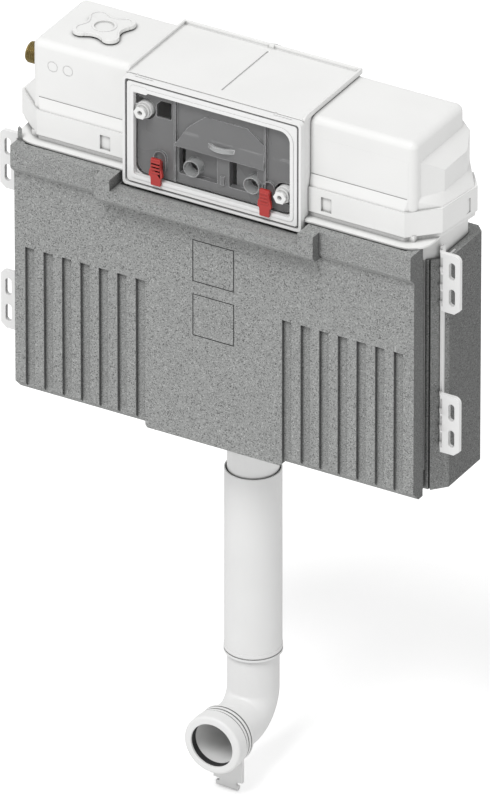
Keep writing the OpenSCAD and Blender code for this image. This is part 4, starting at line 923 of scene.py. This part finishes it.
@dataclass
class Studio:
    """Pale floor, soft light and the camera. Lengths in metres, the lens in mm, angles in degrees.

    The long lens comes close to a parallel view. With a lens over about 1070 mm the object lies beyond the
    far clip of a turned view, which then shows nothing.
    """

    azimuth: float = 30.0
    elevation: float = 29.76
    lens: float = 1000.0
    view_h: float = 0.7474
    aim: tuple[float, float, float] = (0.0, -0.0557, -0.1288)
    near_clip: float = 0.01
    far_clips: float = 4.0
    sky: float = 0.565
    sun: float = 1.62
    sun_spread: float = 24.0
    sun_from: tuple[float, float, float] = (0.0, -0.54, 0.835)
    floor_gap: float = 0.001
    floor_half: float = 40.0
    floor_ticks: int = 9
    floor_tones: tuple[float, float] = (0.90, 0.92)
    floor_noise: float = 3.0
    floor_roughness: float = 0.95
    floor_lift: float = 0.42

    def camera(self) -> None:
        """Sets the camera far away with a long lens, at the photograph's angle."""
        a, e = math.radians(self.azimuth), math.radians(self.elevation)
        back = Vector((math.sin(a) * math.cos(e), -math.cos(a) * math.cos(e), math.sin(e)))
        data = bpy.data.cameras.new("camera")
        data.lens = self.lens
        cam = bpy.data.objects.new("camera", data)
        bpy.context.scene.collection.objects.link(cam)
        distance = self.view_h / 2 / (data.sensor_width / 2 / self.lens)
        cam.location = Vector(self.aim) + back * distance
        cam.rotation_mode = "QUATERNION"
        cam.rotation_quaternion = (-back).to_track_quat("-Z", "Y")
        data.clip_start, data.clip_end = self.near_clip, distance * self.far_clips
        bpy.context.scene.camera = cam

    def light(self) -> None:
        """Sets an even sky, white to the camera, and one soft sun from the front and high above."""
        world = bpy.data.worlds.new("sky")
        bpy.context.scene.world = world
        world.use_nodes = True
        tree = NodeTree(world.node_tree)
        back = next(n for n in world.node_tree.nodes if n.type == "BACKGROUND")
        path = tree.add("LightPath")
        seen = tree.math("MAXIMUM", path.outputs["Is Camera Ray"], path.outputs["Is Glossy Ray"])
        seen = tree.math("MAXIMUM", seen, path.outputs["Is Transmission Ray"])
        back.inputs["Color"].default_value = (1.0, 1.0, 1.0, 1.0)
        tree.put(tree.math("MULTIPLY_ADD", seen, 1.0 - self.sky, self.sky), back.inputs["Strength"])
        data = bpy.data.lights.new("sun", "SUN")
        data.energy = self.sun
        data.angle = math.radians(self.sun_spread)
        sun = bpy.data.objects.new("sun", data)
        bpy.context.scene.collection.objects.link(sun)
        sun.rotation_mode = "QUATERNION"
        sun.rotation_quaternion = (-Vector(self.sun_from)).to_track_quat("-Z", "Y")

    def floor(self) -> None:
        """Lays a wide pale floor just below the object, lifted towards white for the camera."""
        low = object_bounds()[0].z - self.floor_gap
        ticks = np.linspace(-self.floor_half, self.floor_half, self.floor_ticks)
        x, y = np.meshgrid(ticks, ticks, indexing="ij")
        mesh = grid_mesh("floor", np.stack([x, y, np.full_like(x, low)], axis=-1))
        mesh.flip_normals()
        obj = add_object("floor", mesh)
        material, tree, shader = new_material("floor_paint")
        noise = tree.add("TexNoise", i_Vector=object_point(tree), i_Scale=self.floor_noise).outputs[0]
        low_tone, high_tone = ((tone, tone, tone, 1.0) for tone in self.floor_tones)
        tree.put(tree.mix(noise, low_tone, high_tone), shader.inputs["Base Color"])
        shader.inputs["Roughness"].default_value = self.floor_roughness
        shader.inputs["Specular IOR Level"].default_value = 0.0
        shader.inputs["Emission Color"].default_value = (1.0, 1.0, 1.0, 1.0)
        lift = tree.math("MULTIPLY", tree.add("LightPath").outputs["Is Camera Ray"], self.floor_lift)
        tree.put(lift, shader.inputs["Emission Strength"])
        obj.data.materials.append(material)
        obj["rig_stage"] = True

    def build(self) -> None:
        """Sets view transform, camera, light and floor."""
        bpy.context.scene.view_settings.view_transform = "Standard"
        self.camera()
        self.light()
        self.floor()


def assemblies() -> list[Assembly]:
    """Lists the sub-assemblies in the order in which they are built, with each node's rounding in mm."""
    return [
        Mouldings("tank", {"tank_shell": (1.2, Finish.TANK)}, ("tank_shell",)),
        Mouldings("jacket", {
            "jacket_front": (0.9, Finish.FOAM),
            "jacket_rear": (0.9, Finish.FOAM),
        }, ("jacket_front",)),
        Mouldings("brackets", {
            "bracket_left": (0.5, Finish.BRACKET),
            "bracket_right": (0.5, Finish.BRACKET),
        }),
        Mouldings("shaft", {
            "inspection_shaft": (0.6, Finish.RIM),
            "guard_frame": (0.5, Finish.RIM),
            "shaft_lid": (0.6, Finish.WHITE),
            "plate_studs": (0.4, Finish.WHITE),
        }, ("inspection_shaft", "shaft_lid", "guard_frame")),
        Mouldings("guard", {
            "splash_guard": (0.4, Finish.SMOKED),
            "guard_handle": (0.4, Finish.CLEAR),
            "rod_guides": (0.3, Finish.CLEAR),
            "latch_left": (0.35, Finish.RED),
            "latch_right": (0.35, Finish.RED),
        }, ("splash_guard",)),
        Mouldings("cap", {
            "blanking_cap": (0.7, Finish.WHITE),
            "cap_seal": (0.2, Finish.RUBBER),
        }),
        Inlet(),
        Mouldings("inlet parts", {
            "inlet_gasket": (0.3, Finish.RUBBER),
            "inlet_nut": (0.5, Finish.BRASS),
            "stop_valve_body": (0.6, Finish.WHITE),
            "stop_valve_knob": (0.5, Finish.GREY),
            "hose_nuts": (0.5, Finish.STEEL),
        }),
        SupplyHose(),
        Mouldings("fill valve", {
            "fill_valve_body": (0.6, Finish.WHITE),
            "fill_valve_bracket": (0.4, Finish.WHITE),
            "fill_float": (0.6, Finish.WHITE),
            "float_lever": (0.4, Finish.GREY),
        }),
        Mouldings("flush valve", {
            "outlet_seat": (0.4, Finish.WHITE),
            "outlet_gasket": (0.3, Finish.RUBBER),
            "outlet_nut": (0.5, Finish.WHITE),
            "valve_cage": (0.5, Finish.GREY),
            "overflow_tube": (0.4, Finish.WHITE),
            "valve_seal": (0.3, Finish.RUBBER),
            "full_lift_rod": (0.3, Finish.WHITE),
            "part_flush_float": (0.5, Finish.WHITE),
        }),
        Mouldings("levers", {
            "lever_carrier": (0.4, Finish.GREY),
            "lever_axle": (0.3, Finish.STEEL),
            "full_flush_lever": (0.4, Finish.GREY),
            "part_flush_lever": (0.4, Finish.GREY),
        }),
        Mouldings("flush pipe", {
            "flush_pipe": (0.4, Finish.PAINTED_LIGHT_PIPE),
            "pipe_seals": (0.2, Finish.RUBBER),
            "pipe_sleeve": (0.4, Finish.PIPE),
            "flush_bend": (0.4, Finish.PIPE),
            "bend_collar": (0.5, Finish.PIPE),
            "collar_seal": (0.3, Finish.RUBBER),
        }),
    ]


def main() -> None:
    """Builds the studio and every sub-assembly."""
    logging.basicConfig(level=logging.INFO, format="%(name)s: %(message)s")
    make_groups()
    for assembly in assemblies():
        assembly.report()
    Studio().build()


if __name__ == "__main__":
    main()
